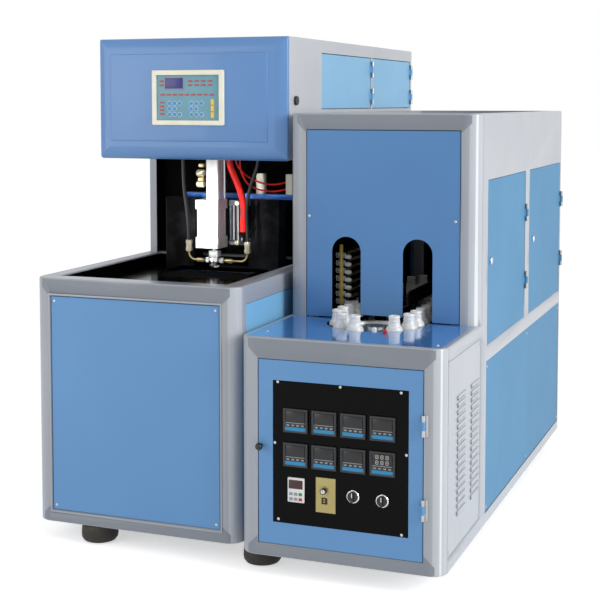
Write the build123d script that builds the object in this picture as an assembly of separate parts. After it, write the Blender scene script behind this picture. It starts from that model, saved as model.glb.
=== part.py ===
from build123d import *
from math import cos, pi, radians, sin, tan
import os

os.makedirs("parts", exist_ok=True)

# Driving sizes in millimetres. The machine is two floor-standing units side by side:
# a blowing unit on the left and a preform heater on the right. +Y runs to the rear.
foot_height = 60.0
unit_gap = 22.0
heater_width = 620.0
heater_depth = 1842.0
heater_table_rise = 644.0
heater_tower_rise = 1287.0
tower_setback = 397.0
blower_width = 700.0
blower_depth = 1825.0
blower_setback = 48.0
blower_base_rise = 775.0
head_bottom_rise = 1135.0
head_top_rise = 1533.0
head_setback = 385.0

# Welded frames and the sheet panels that lie in their windows.
frame_bar = 60.0
corner_radius = 48.0
edge_radius = 6.0
sheet = 2.0
panel_depth = 18.0
panel_recess = 1.5
panel_gap = 2.5
panel_stop = 12.0
panel_edge = 1.2
rebate = panel_recess + panel_depth
cut_over = 5.0
lap = 1.0
post_lap = 8.0
running_clearance = 0.05
seat_clearance = 0.3

# Rubber feet, as distances from the outer faces of each unit.
foot_radius = 58.0
foot_top_radius = 54.0
foot_base_radius = 42.0
foot_round_height = 20.0
foot_top_bevel = 6.0
foot_rail_width = 80.0
foot_rail_height = 40.0
left_foot_inset_y = 112.0
right_foot_inset_y = 420.0
rear_foot_inset_y = 140.0
blower_foot_inset_x = 192.0
heater_foot_inset_x = 28.0
right_foot_inset_x = 112.0

# Door hinges: a barrel on a pin, with one leaf on the frame and one on the door.
hinge_length = 60.0
hinge_barrel_radius = 5.5
hinge_pin_radius = 2.5
hinge_proud = 6.0
hinge_leaf = 13.0
hinge_leaf_thickness = 2.0
hinge_end_gap = 0.4
door_knuckle_length = 24.0
control_hinge_rises = (190.0, 428.0)
tower_hinge_rises = (700.0, 937.0)

# Heater windows, measured up from the cabinet's bottom edge and back from its front.
heater_front_window = (37.0, 583.0)
tower_window_top = 1237.0
louvre_window_y = (40.0, 424.0)
louvre_window_z = (44.0, 604.0)
lower_window_y = (497.0, 1782.0)
lower_window_z = (37.0, 519.0)
door_window_z = (565.0, 1083.0)
front_door_y = (503.0, 1087.0)
rear_door_y = (1158.0, 1782.0)
roof_drop = 14.0
roof_rim = 45.0
vent_width = 300.0
vent_length = 620.0

# Tower front panel with its two arches.
arch_width = 95.0
arch_spacing = 231.0
arch_rise = 902.0
arch_bridge_gap = 12.0
table_thickness = 3.0
table_border = 20.0

# Preform chain: holders ride round two wheels and along the lamps.
chain_radius = 118.0
holders_per_turn = 12
straight_pitches = 12
wheel_setback = 345.0
link_width = 12.0
link_thickness = 3.0
holder_base_radius = 28.0
holder_base_height = 16.0
holder_neck_radius = 17.0
holder_height = 50.0
holder_lip_radius = 19.0
holder_lip_height = 8.0
holder_bevel = 2.0
bare_place = 3
bare_stud_radius = 9.0
bare_stud_height = 16.0
table_slot_radius = 152.0
chain_drop = 14.0
wheel_flange_overlap = 6.0
wheel_flange_thickness = 8.0
wheel_rim_thickness = 12.0
wheel_holes = 6
wheel_hub_radius = 26.0
wheel_shaft_radius = 15.0
cross_rail_width = 60.0
cross_rail_height = 40.0
cross_rail_drop = 104.0
motor_width = 110.0
gearbox_height = 70.0
gearbox_bevel = 8.0
motor_radius = 52.0
motor_length = 150.0
shaft_engagement = 36.0

# Lamp banks beside the straight runs.
lamp_offset = 162.0
lamp_count = 7
lamp_pitch = 24.7
lamp_first_rise = 685.0
lamp_radius = 5.0
lamp_length = 466.0
lamp_setback = 488.0
post_thickness = 8.0
post_inside = 11.0
post_outside = 28.0
lamp_rail_inset = 20.0
guard_arm_width = 30.0
guard_arm_drop = 22.0
guard_thickness = 4.0
track_half_width = 14.0
track_thickness = 12.0
reflector_gap = 12.0
guard_offset = 80.0
guard_rise = (691.0, 736.0)
guard_setback = 424.0
guard_stay_width = 20.0
guard_tooth = 8.0

# Control door and what it carries, as places on the heater's front.
sheet_cut_x = (47.0, 456.0)
sheet_cut_z = (104.0, 522.0)
control_sheet_thickness = 2.5
control_sheet_lap = 12.0
controller_width = 75.0
controller_height = 70.0
controller_first_x = 118.5
controller_pitch_x = 87.3
controller_rows = (408.0, 308.0)
controller_proud = 8.0
controller_depth = 42.0
instrument_border = 6.0
instrument_recess = 2.0
instrument_bevel = 1.5
bezel_lap = 3.0
drive_unit_x = (95.0, 146.0)
drive_unit_z = (170.0, 242.0)
speed_plate_x = (180.0, 240.0)
speed_plate_z = (148.0, 250.0)
speed_plate_thickness = 3.0
speed_knob_place = (205.0, 212.0)
speed_knob_radius = 9.0
speed_knob_height = 9.0
rocker_place = (207.0, 183.0)
rocker_width = 18.0
rocker_height = 20.0
rocker_tilt = 10.0
selector_places = ((292.0, 204.0), (379.0, 201.0))
selector_radius = 15.0
selector_height = 8.0
selector_ring_radius = 19.0
selector_ring_height = 3.0
knob_shaft_radius = 3.0
knob_shaft_length = 14.0
knob_bevel = 1.2
grip_height = 5.0
door_knob_place = (11.0, 327.0)
door_knob_radius = 11.0
door_knob_stem = 18.0
door_knob_neck = 5.0
catch_thickness = 2.0
catch_width = 8.0
catch_length = 24.0

# Tower door latches, back from the heater's front and up from its bottom edge.
latch_places = ((542.0, 829.0), (1222.0, 831.0))
latch_radius = 12.0
latch_height = 7.0
latch_shaft_radius = 5.0
latch_cam_length = 34.0
latch_cam_width = 12.0
latch_cam_depth = 9.0
latch_cam_thickness = 3.0
latch_slot = 3.0

# Louvre slots in the heater's front side sheet.
louvre_columns = (189.0, 355.0)
louvre_first_rise = 138.0
louvre_pitch = 21.0
louvre_count = 17
louvre_length = 96.0
louvre_height = 6.0

# Blowing unit: side windows, table tray and rear cabinet.
blower_side_rail = 55.0
blower_sill = 39.0
tray_rim_drop = 4.0
tray_depth = 40.0
tray_sheet = 3.0
tray_rear = 752.0
cabinet_inset = 6.0
cabinet_sheet = 3.0
cabinet_flange = 26.0
cabinet_corner = 20.0
bulkhead_setback = 795.0
mould_well_x = 160.0
mould_well_y = 72.0
well_lip = 10.0

# Head box, its moulded cover and its doors.
head_wall = 3.0
head_floor = 4.0
head_side = 24.0
head_corner = 12.0
head_inset = 14.0
cover_depth = 25.0
cover_border = 42.0
cover_slope = 20.0
cover_edge = 5.0
cover_wall = 4.0
cover_pad_left = 68.0
cover_pad_right = 64.0
cover_pad_rise = (58.0, 346.0)
cover_pad_height = 2.5
cover_pad_corner = 6.0
head_door_bottom_rise = 1297.0
head_door_top_rise = 1490.0
head_door_spans = ((332.0, 881.0), (897.0, 1408.0))
head_hinge_rises = (1343.0, 1446.0)
bezel_x = (226.0, 486.0)
bezel_rise = (1246.0, 1427.0)
bezel_height = 9.0
bezel_border = 16.0
bezel_corner = 5.0
bezel_edge = 3.0
keypad_height = 4.0
display_x = (31.0, 97.0)
display_z = (104.0, 139.0)
key_groups_x = (47.0, 126.0)
key_first_z = 19.0
key_pitch = 18.5
key_radius = 6.5
key_height = 1.0
display_depth = 1.5
head_knob_place = (82.0, 1327.0)
head_knob_radius = 15.0
head_knob_height = 8.0
head_catch_depth = 29.0

# Stretch and seal cylinders on the blowing axis.
axis_setback = 572.0
axis_shift = 12.0
column_side = 45.0
column_bore = 14.0
column_end = 10.0
rod_top_gap = 40.0
column_flange = 76.0
column_over_floor = 237.0
cylinder_cap = 86.0
cylinder_body = 78.0
cap_bottom_rise = (823.0, 861.0)
cap_top_rise = (957.0, 989.0)
cylinder_offset = 12.0
piston_radius = 20.9
barrel_bore_radius = 21.0
rod_way_radius = 13.0
guide_rod_radius = 4.5
guide_rod_place = (36.0, 30.0)
piston_thickness = 20.0
piston_top_gap = 6.0
piston_rod_radius = 8.0
stretch_rod_radius = 4.0
seal_block_rise = (792.0, 812.0)
seal_block_half = 17.0
seal_block_bevel = 4.0
nozzle_radius = 22.0
nozzle_length = 37.0
nozzle_corner = 9.0
nozzle_neck_radius = 17.0
nozzle_neck_length = 4.0
seal_travel = 30.0
stretch_travel = 250.0
tie_rod_radius = 4.0
column_corner = 5.0
column_flange_height = 10.0
cylinder_cap_corner = 7.0
cylinder_body_corner = 9.0
cylinder_bevel = 1.0
cylinder_groove_radius = 4.0
cylinder_groove_offset = 22.0

# Pipes and hoses.
pipe_radius = 3.5
pipe_bend = 24.0
hose_radius = 6.5
hose_fitting_radius = 10.0
hose_fitting_length = 38.0
pipe_nut_radius = 8.0
pipe_nut_length = 24.0
pipe_port_radius = 9.5
pipe_port_length = 10.0
pipe_port_seat = 4.0
left_pipe_reach = 98.0
right_pipe_reach = 122.0
pipe_rise = 779.0
pipe_top_rise = 808.0
hose_straight = 40.0
hose_in_head = 20.0
left_hose = ((-105.0, 0.0, 952.0), (-117.0, 3.0, 1022.0), (-121.0, 6.0, 1095.0))
right_hose = ((118.0, 0.0, 946.0), (123.0, 4.0, 1005.0), (138.0, 10.0, 1060.0), (156.0, 14.0, 1108.0))
red_hose_radius = 11.0
red_hose = (
    (50.0, 14.0, 1105.0), (76.0, 16.0, 1052.0), (95.0, 18.0, 1000.0),
    (102.0, 20.0, 948.0), (97.0, 22.0, 908.0), (97.0, 22.0, 878.0),
)
thin_tube_radius = 3.0
thin_tubes = (
    (
        (32.0, 108.0, 1104.0), (72.0, 108.0, 1064.0), (128.0, 108.0, 1040.0),
        (178.0, 110.0, 1036.0), (220.0, 124.0, 1046.0),
    ),
    (
        (48.0, 108.0, 1085.0), (74.0, 108.0, 1036.0), (122.0, 108.0, 1016.0),
        (178.0, 110.0, 1012.0), (220.0, 124.0, 1022.0),
    ),
)

# Gantry behind the cylinders, with its air blocks and side cylinder.
gantry_front = 652.0
gantry_post_depth = 70.0
gantry_post_bevel = 6.0
gantry_post_x = (100.0, 218.0)
gantry_rise = 985.0
gantry_beam_height = 18.0
gantry_beam_x = (-154.0, 262.0)
gantry_beam_depth = 40.0
air_block_x = (131.0, 242.0)
air_block_width = 30.0
air_block_height = 70.0
air_block_depth = 30.0
air_block_bevel = 5.0
side_cylinder_x = 72.0
side_cylinder_side = 44.0
side_cap_height = 20.0
side_ear_thickness = 8.0
side_ear_lap = 14.0
side_cylinder_rise = (830.0, 985.0)
hose_lug_x = (98.0, 120.0)
hose_lug_rise = (858.0, 878.0)
hose_lug_depth = 68.0

# Mould clamp under the table, open at rest.
mould_travel = 60.0
mould_thickness = 90.0
mould_half_width = 62.0
mould_bottom_rise = 425.0
mould_top_rise = 720.0
platen_thickness = 30.0
platen_half_width = 98.0
tie_bar_radius = 12.0
tie_bar_y = 80.0
tie_bar_inset = (14.0, 26.0)
end_plate_gap = 20.0
end_plate_thickness = 20.0
end_plate_half_width = 104.0
clamp_barrel_radius = 45.0
clamp_barrel_length = 86.0
clamp_rod_radius = 15.0
clamp_beam_height = 40.0
clamp_beam_gap = 20.0
clamp_rod_gap = 12.0
clamp_cap_thickness = 6.0
bottle_radius = 42.0
bottle_heel = 8.0
bottle_neck_radius = 13.0
stretch_end_gap = 5.0
bottle_shoulder = 45.0
neck_depth = 40.0

# Places that follow from the sizes above.
total_width = heater_width + unit_gap + blower_width
total_depth = blower_setback + blower_depth
front_reach = door_knob_stem + door_knob_radius - panel_recess
heater_x1 = total_width / 2
heater_x0 = heater_x1 - heater_width
heater_mid = (heater_x0 + heater_x1) / 2
blower_x0 = -total_width / 2
blower_x1 = blower_x0 + blower_width
blower_mid = (blower_x0 + blower_x1) / 2
heater_y0 = -(total_depth + front_reach) / 2 + front_reach
heater_y1 = heater_y0 + heater_depth
tower_y0 = heater_y0 + tower_setback
blower_y0 = heater_y0 + blower_setback
blower_y1 = blower_y0 + blower_depth
head_y0 = blower_y0 + head_setback
floor_z = foot_height
table_z = floor_z + heater_table_rise
tower_z = floor_z + heater_tower_rise
base_z = floor_z + blower_base_rise
head_z0 = floor_z + head_bottom_rise
head_z1 = floor_z + head_top_rise
axis_x = blower_mid + axis_shift
axis_y = blower_y0 + axis_setback
body_x = axis_x - cylinder_offset
column_top = head_z0 + column_over_floor
head_x = (blower_x0 + head_inset, blower_x1)
tray_z = base_z - tray_depth
chain_pitch = 2 * pi * chain_radius / holders_per_turn
chain_z = table_z - chain_drop
front_wheel_y = heater_y0 + wheel_setback
rear_wheel_y = front_wheel_y + straight_pitches * chain_pitch
rail_z = table_z - cross_rail_drop
mould_z0 = floor_z + mould_bottom_rise
mould_z1 = floor_z + mould_top_rise
rod_tip_z = floor_z + seal_block_rise[0] - nozzle_length
bottle_base_z = rod_tip_z - seal_travel - stretch_travel - stretch_end_gap
front_span = (heater_x0 + frame_bar, heater_x1 - frame_bar)

# Faces that panels lie in: axis, place and the way into the machine.
heater_front = ("y", heater_y0, 1)
tower_front = ("y", tower_y0, 1)
heater_rear = ("y", heater_y1, -1)
heater_right = ("x", heater_x1, -1)
heater_left = ("x", heater_x0, 1)
tower_top = ("z", tower_z, -1)
blower_front = ("y", blower_y0, 1)
blower_rear = ("y", blower_y1, -1)
blower_left = ("x", blower_x0, 1)
blower_right = ("x", blower_x1, -1)
head_right = ("x", blower_x1, -1)


def span(x, y, z):
    """Box between two corners, given as three ranges."""
    middle = Pos((x[0] + x[1]) / 2, (y[0] + y[1]) / 2, (z[0] + z[1]) / 2)
    return middle * Box(x[1] - x[0], y[1] - y[0], z[1] - z[0])


def moved(pair, by):
    """A range shifted along its axis."""
    return (pair[0] + by, pair[1] + by)


def shrink(pair, by):
    """A range made shorter at both ends."""
    return (pair[0] + by, pair[1] - by)


def around(middle, half):
    """A range about its middle."""
    return (middle - half, middle + half)


def layer(face, near, far, first, second):
    """Box between two depths behind a face, over two ranges of that face."""
    axis, place, inward = face
    ends = tuple(sorted((place + inward * near, place + inward * far)))
    if axis == "x":
        return span(ends, first, second)
    if axis == "y":
        return span(first, ends, second)
    return span(first, second, ends)


def window(face, first, second, through=frame_bar):
    """Cutter for a panel window: a rebate for the panel, then a smaller way through."""
    seat = layer(face, -cut_over, rebate, first, second)
    way = layer(face, 0, through + lap, shrink(first, panel_stop), shrink(second, panel_stop))
    return seat + way


def outer_edges(solid, face):
    """Edges of the face that a panel shows to the outside."""
    axis, place, inward = face
    along = {"x": Axis.X, "y": Axis.Y, "z": Axis.Z}[axis]
    faces = solid.faces().sort_by(along)
    return (faces[0] if inward > 0 else faces[-1]).edges()


def tray(face, first, second):
    """Folded panel that lies in a window: a sheet with its four edges turned in."""
    first = shrink(first, panel_gap)
    second = shrink(second, panel_gap)
    outer = layer(face, panel_recess, rebate, first, second)
    outer = fillet(outer_edges(outer, face), panel_edge)
    hollow = layer(face, panel_recess + sheet, rebate + lap, shrink(first, sheet), shrink(second, sheet))
    return outer - hollow


def rounded_box(x, y, z, radius, edge):
    """Cabinet outline with large upright corners and softer top and bottom edges."""
    box = span(x, y, z)
    box = fillet(box.edges().filter_by(Axis.Z), radius)
    ends = box.faces().filter_by(Axis.Z)
    return fillet(ends.edges(), edge)


def turned(profile, x, y):
    """Solid turned about an upright axis from (radius, height) points."""
    outline = Polyline(*[(r, 0, z) for r, z in profile], close=True)
    return Pos(x, y, 0) * revolve(make_face(outline), Axis.Z)


def rod(start, end, radius):
    """Round bar between two points."""
    run = Vector(*end) - Vector(*start)
    return extrude(Plane(Vector(*start), z_dir=run) * Circle(radius), run.length)


def hose(points, radius):
    """Tube along straight runs joined by arcs that are as large as the runs allow."""
    spots = [Vector(*p) for p in points]
    radii = []
    for before, here, after in zip(spots, spots[1:], spots[2:]):
        turn = (here - before).get_angle(after - here)
        shorter = min((here - before).length, (after - here).length)
        radii.append(0.45 * shorter / tan(radians(turn) / 2))
    print("hose radii", [round(r) for r in radii])
    path = FilletPolyline(*spots, radius=radii)
    section = Plane(spots[0], z_dir=spots[1] - spots[0]) * Circle(radius)
    return sweep(section, path)


def group(solids):
    """Several like solids kept in one node."""
    return Compound(children=list(solids))


def heater_frame():
    """Welded frame of the heater: a low front part and the tower behind it."""
    sides = (heater_x0, heater_x1)
    low = rounded_box(sides, (heater_y0, heater_y1), (floor_z, table_z), corner_radius, edge_radius)
    tower = rounded_box(sides, (tower_y0, heater_y1), (floor_z, tower_z), corner_radius, edge_radius)
    frame = low + tower
    inner_x = shrink((heater_x0, heater_x1), frame_bar)
    inner_y = (heater_y0 + frame_bar, heater_y1 - frame_bar)
    frame -= span(inner_x, inner_y, (floor_z + frame_bar, table_z - frame_bar))
    frame -= span(inner_x, (tower_y0 + frame_bar, inner_y[1]), (table_z - frame_bar - lap, tower_z - frame_bar))
    frame -= window(heater_front, front_span, moved(heater_front_window, floor_z))
    frame -= window(tower_front, front_span, (table_z, floor_z + tower_window_top))
    for side in (heater_right, heater_left):
        for y, z in side_windows():
            frame -= window(side, y, z)
    frame -= window(heater_rear, front_span, rear_window_z())
    frame -= top_window()
    frame -= roof_window()
    frame -= span(inner_x, inner_y, (floor_z - lap, floor_z + frame_bar + lap))
    for y in (front_wheel_y, lamp_rail_y(0), lamp_rail_y(1), rear_wheel_y):
        rail_y = around(y, cross_rail_width / 2)
        frame += span(shrink(inner_x, -lap), rail_y, (rail_z - cross_rail_height, rail_z))
    for x in inner_posts(heater_x0, heater_x1):
        post_z = (floor_z + frame_bar - post_lap, table_z - frame_bar + post_lap)
        frame += span(x, around(front_wheel_y, cross_rail_width / 2), post_z)
    for y in (front_wheel_y, rear_wheel_y):
        bearing = Cylinder(wheel_shaft_radius + running_clearance, 4 * cross_rail_height)
        frame -= Pos(heater_mid, y, rail_z) * bearing
    return frame + foot_rails(heater_x0, heater_x1)


def inner_posts(x0, x1):
    """Width ranges of the posts that stand behind a unit's side panels."""
    near, far = rebate + lap, frame_bar + lap
    return ((x0 + near, x0 + far), (x1 - far, x1 - near))


def side_windows():
    """Ranges of the four windows in each side of the heater."""
    spans = (
        (louvre_window_y, louvre_window_z),
        (lower_window_y, lower_window_z),
        (front_door_y, door_window_z),
        (rear_door_y, door_window_z),
    )
    return [(moved(y, heater_y0), moved(z, floor_z)) for y, z in spans]


def rear_window_z():
    """Height range of the heater's rear window."""
    return (floor_z + frame_bar, tower_z - 2 * frame_bar)


def table_y():
    """Depth range of the heater's blue table."""
    return (heater_y0 + table_border, tower_y0 - seat_clearance)


def table_x():
    """Width range of the heater's blue table."""
    return shrink((heater_x0, heater_x1), table_border)


def top_window():
    """Cutter for the table: a shallow seat over an opening to the chain below."""
    seat = span(table_x(), (table_y()[0], tower_y0), (table_z - table_thickness, table_z + cut_over))
    way_y = (heater_y0 + frame_bar, tower_y0 + frame_bar + lap)
    way = span(front_span, way_y, (rail_z, table_z + panel_stop))
    return seat + way


def roof_x():
    """Width range of the sunken roof."""
    return shrink((heater_x0, heater_x1), roof_rim)


def roof_y():
    """Depth range of the sunken roof."""
    return shrink((tower_y0, heater_y1), roof_rim)


def roof_window():
    """Cutter for the roof: a seat below the rim over a way through."""
    seat = layer(tower_top, -cut_over, roof_drop + sheet, roof_x(), roof_y())
    way = layer(tower_top, 0, frame_bar + lap, shrink(roof_x(), 2 * panel_stop), shrink(roof_y(), 2 * panel_stop))
    return seat + way


def tower_roof():
    """Sunken roof sheet with a long vent over the lamps."""
    x = shrink(roof_x(), seat_clearance)
    y = shrink(roof_y(), seat_clearance)
    roof = layer(tower_top, roof_drop, roof_drop + sheet, x, y)
    middle = (roof_y()[0] + roof_y()[1]) / 2
    vent = layer(tower_top, 0, frame_bar, around(heater_mid, vent_width / 2), around(middle, vent_length / 2))
    return roof - vent


def heater_table():
    """Blue table plate, cut round the front of the chain."""
    x = shrink(table_x(), seat_clearance)
    y = shrink(table_y(), seat_clearance)
    plate = span(x, y, (table_z - table_thickness, table_z))
    slot = Pos(heater_mid, front_wheel_y, table_z) * Cylinder(table_slot_radius, 2 * cut_over)
    slot += span(around(heater_mid, table_slot_radius), (front_wheel_y, tower_y0), around(table_z, cut_over))
    return plate - slot


def tower_front_panel():
    """Front panel of the tower, with two arches that the preforms pass through."""
    z = (table_z, floor_z + tower_window_top)
    panel = tray(tower_front, front_span, z)
    bottom = z[0] + panel_gap
    for side in (-1, 1):
        middle = heater_mid + side * arch_spacing / 2
        half = arch_width / 2
        crown = floor_z + arch_rise - half
        cutter = span(around(middle, half), (tower_y0 - lap, tower_y0 + rebate + lap), (bottom - lap, crown))
        cutter += Pos(middle, tower_y0, crown) * Rot(90, 0, 0) * Cylinder(half, 4 * rebate)
        panel -= cutter
    inner = arch_spacing / 2 - arch_width / 2
    bridge_z = (bottom - lap, bottom + arch_bridge_gap)
    bridge = layer(tower_front, -lap, rebate + lap, around(heater_mid, inner + lap), bridge_z)
    return panel - bridge


def louvre_panel():
    """Grey side sheet with two columns of vent slots."""
    y, z = side_windows()[0]
    panel = tray(heater_right, y, z)
    slots = []
    for column in louvre_columns:
        for row in range(louvre_count):
            middle_z = floor_z + louvre_first_rise + row * louvre_pitch
            middle_y = heater_y0 + column
            ranges = (around(middle_y, louvre_length / 2), around(middle_z, louvre_height / 2))
            slots.append(layer(heater_right, 0, rebate / 2, *ranges))
    return panel - slots


def heater_left_panel():
    """Plain sheets that close the heater's left side."""
    return group(tray(heater_left, y, z) for y, z in side_windows())


def hinge_turn(side):
    """Turn of a hinge about its pin, so that its local x points out of the face."""
    return {"x": 0, "y": -90}[side]


def fixed_hinge(x, y, z, side):
    """Pin, two end knuckles and the leaf that is screwed to the frame."""
    half = hinge_length / 2
    knuckle = door_knuckle_length / 2 + hinge_end_gap
    hinge = Cylinder(hinge_barrel_radius, hinge_length)
    hinge -= Cylinder(hinge_barrel_radius + lap, 2 * knuckle)
    hinge += Cylinder(hinge_pin_radius, hinge_length - lap)
    leaf = span((-hinge_proud, hinge_leaf_thickness - hinge_proud), (lap, hinge_leaf), (-half, half))
    leaf -= Cylinder(hinge_barrel_radius + hinge_end_gap, 2 * knuckle)
    return Pos(x, y, z) * Rot(0, 0, hinge_turn(side)) * (hinge + leaf)


def door_knuckle(x, y, z, side):
    """Middle knuckle and leaf that are fixed to the door."""
    half = door_knuckle_length / 2
    knuckle = Cylinder(hinge_barrel_radius, door_knuckle_length)
    knuckle += span((-hinge_proud - panel_recess, -hinge_pin_radius - lap), (-hinge_leaf, 0), (-half, half))
    knuckle -= Cylinder(hinge_pin_radius + running_clearance, 2 * door_knuckle_length)
    return Pos(x, y, z) * Rot(0, 0, hinge_turn(side)) * knuckle


def tower_hinge_places(door_y):
    """Axis place and heights of a tower door's two hinges."""
    x = heater_x1 + hinge_proud
    return [(x, heater_y0 + door_y[1], floor_z + rise) for rise in tower_hinge_rises]


def control_hinge_places():
    """Axis place and heights of the control door's two hinges."""
    return [(front_span[1], heater_y0 - hinge_proud, floor_z + rise) for rise in control_hinge_rises]


def head_hinge_places(spans):
    """Axis place and heights of a head door's two hinges."""
    x = blower_x1 + hinge_proud
    return [(x, head_y0 + spans[1], floor_z + rise) for rise in head_hinge_rises]


def hinge_pins():
    """All fixed hinge halves of the machine."""
    places = [(p, "x") for door in (front_door_y, rear_door_y) for p in tower_hinge_places(door)]
    places += [(p, "y") for p in control_hinge_places()]
    places += [(p, "x") for spans in head_door_spans for p in head_hinge_places(spans)]
    return group(fixed_hinge(*p, side) for p, side in places)


def tower_door(door_y, latch):
    """Side door of the tower with its hinge knuckles and the hole for its latch."""
    door = tray(heater_right, moved(door_y, heater_y0), moved(door_window_z, floor_z))
    for place in tower_hinge_places(door_y):
        door += door_knuckle(*place, "x")
    hole = latch_at(latch) * Cylinder(latch_shaft_radius + running_clearance, 4 * sheet)
    return door - hole


def latch_at(latch):
    """Placement on a tower door's face with the local z pointing out."""
    return Pos(heater_x1 - panel_recess, heater_y0 + latch[0], floor_z + latch[1]) * Rot(0, 90, 0)


def tower_latch(latch):
    """Quarter-turn latch: a slotted knob, its shaft and the cam behind the door."""
    gap = seat_clearance
    knob = Pos(0, 0, gap + latch_height / 2) * Cylinder(latch_radius, latch_height)
    knob = chamfer(knob.edges().sort_by(Axis.Z)[-1], knob_bevel)
    knob -= Pos(0, 0, gap + latch_height) * Box(2 * latch_radius, latch_slot, latch_slot)
    shaft = rod((0, 0, -latch_cam_depth), (0, 0, gap + lap), latch_shaft_radius)
    cam = Pos(latch_cam_length / 2 - latch_cam_width / 2, 0, -latch_cam_depth)
    cam *= Box(latch_cam_length, latch_cam_width, latch_cam_thickness)
    return latch_at(latch) * (knob + shaft + cam)


def control_door():
    """Blue front door with the opening that the control sheet shows through."""
    door = tray(heater_front, front_span, moved(heater_front_window, floor_z))
    door -= layer(heater_front, -lap, rebate, moved(sheet_cut_x, front_span[0]), moved(sheet_cut_z, floor_z))
    for place in control_hinge_places():
        door += door_knuckle(*place, "y")
    hole = door_knob_at() * Cylinder(knob_shaft_radius + running_clearance, 4 * sheet)
    return door - hole


def panel_at(place, depth=0.0):
    """Placement on the heater's front with the local z pointing out."""
    return Pos(front_span[0] + place[0], heater_y0 + depth, floor_z + place[1]) * Rot(90, 0, 0)


def door_knob_at():
    """Placement of the control door's knob on the door's face."""
    return panel_at(door_knob_place, panel_recess)


def sheet_face():
    """Depth of the control sheet's front behind the heater's front plane."""
    return panel_recess + sheet


def control_sheet():
    """Black sheet behind the door's opening, cut out for its instruments."""
    x = shrink(moved(sheet_cut_x, front_span[0]), -control_sheet_lap)
    z = shrink(moved(sheet_cut_z, floor_z), -control_sheet_lap)
    plate = span(x, moved((0, control_sheet_thickness), heater_y0 + sheet_face()), z)
    for cut in controller_ranges() + [drive_unit_range()]:
        plate -= span(shrink(cut[0], bezel_lap), around(heater_y0, 2 * rebate), shrink(cut[1], bezel_lap))
    plate -= rocker_cutter()
    for place in (speed_knob_place,) + selector_places:
        plate -= panel_at(place) * Cylinder(knob_shaft_radius + running_clearance, 4 * rebate)
    return plate


def controller_ranges():
    """Front outlines of the eight temperature controllers."""
    ranges = []
    for row in controller_rows:
        for column in range(4):
            x = front_span[0] + controller_first_x + column * controller_pitch_x
            ranges.append((around(x, controller_width / 2), around(floor_z + row, controller_height / 2)))
    return ranges


def drive_unit_range():
    """Front outline of the chain drive's keypad unit."""
    return (moved(drive_unit_x, front_span[0]), moved(drive_unit_z, floor_z))


def rocker_cutter():
    """Opening for the rocker, through its plate and the sheet behind it."""
    x = around(front_span[0] + rocker_place[0], rocker_width / 2)
    z = around(floor_z + rocker_place[1], rocker_height / 2)
    return span(x, around(heater_y0, 4 * rebate), z)


def framed_instrument(x, z, proud, depth):
    """Panel instrument: a bezel in front of the sheet and a body behind it."""
    face = heater_y0 + sheet_face()
    bezel = span(x, (face - proud, face), z)
    front = bezel.faces().sort_by(Axis.Y)[0]
    bezel = chamfer(front.edges(), instrument_bevel)
    window_y = (face - proud - lap, face - proud + instrument_recess)
    bezel -= span(shrink(x, instrument_border), window_y, shrink(z, instrument_border))
    fit = bezel_lap + seat_clearance
    body = span(shrink(x, fit), (face, face + depth), shrink(z, fit))
    return bezel + body


def panel_instruments():
    """Eight temperature controllers, the drive's keypad unit and the selectors' rings."""
    outlines = controller_ranges() + [drive_unit_range()]
    solids = [framed_instrument(x, z, controller_proud, controller_depth) for x, z in outlines]
    for place in selector_places:
        ring = Pos(0, 0, selector_ring_height / 2) * Cylinder(selector_ring_radius, selector_ring_height)
        ring -= Cylinder(selector_radius + 2 * seat_clearance, 4 * selector_ring_height)
        solids.append(panel_at(place, sheet_face()) * ring)
    return group(solids)


def speed_controller():
    """Gold plate with a hole for the speed knob and a frame for the rocker."""
    face = heater_y0 + sheet_face()
    x, z = moved(speed_plate_x, front_span[0]), moved(speed_plate_z, floor_z)
    plate = span(x, (face - speed_plate_thickness, face), z)
    plate = chamfer(plate.faces().sort_by(Axis.Y)[0].edges(), speed_plate_thickness / 4)
    plate -= panel_at(speed_knob_place) * Cylinder(knob_shaft_radius + running_clearance, 4 * rebate)
    return plate - rocker_cutter()


def knob(radius, height):
    """Turning knob just clear of its plate, on a shaft that runs through the plate."""
    body = Pos(0, 0, seat_clearance + height / 2) * Cylinder(radius, height)
    body = chamfer(body.edges().sort_by(Axis.Z)[-1], knob_bevel)
    shaft_end = seat_clearance - knob_shaft_length
    return body + rod((0, 0, seat_clearance + lap), (0, 0, shaft_end), knob_shaft_radius)


def speed_knob():
    """Round knob of the speed controller."""
    face = sheet_face() - speed_plate_thickness
    return panel_at(speed_knob_place, face) * knob(speed_knob_radius, speed_knob_height)


def selector(place):
    """Rotary selector with a raised grip."""
    grip = Pos(0, 0, selector_height + grip_height / 2) * Box(0.5 * selector_radius, 1.9 * selector_radius, grip_height)
    return panel_at(place, sheet_face()) * (knob(selector_radius, selector_height) + grip)


def power_rocker():
    """Rocker switch, resting with its upper end pressed in."""
    swing = rocker_height / 2 - 2 * seat_clearance
    lip, hollow, heel = 0.45 * swing, 0.25 * swing, 0.55 * swing
    tip = (swing**2 - lip**2) ** 0.5
    outline = Polyline((-lip, -tip), (-hollow, 0), (-lip, tip), (heel, heel), (heel, -heel), close=True)
    body = extrude(Plane.YZ * make_face(outline), rocker_width / 2 - 2 * seat_clearance, both=True)
    pivot = Pos(front_span[0] + rocker_place[0], heater_y0 + sheet_face(), floor_z + rocker_place[1])
    return pivot * Rot(-rocker_tilt, 0, 0) * body


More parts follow.
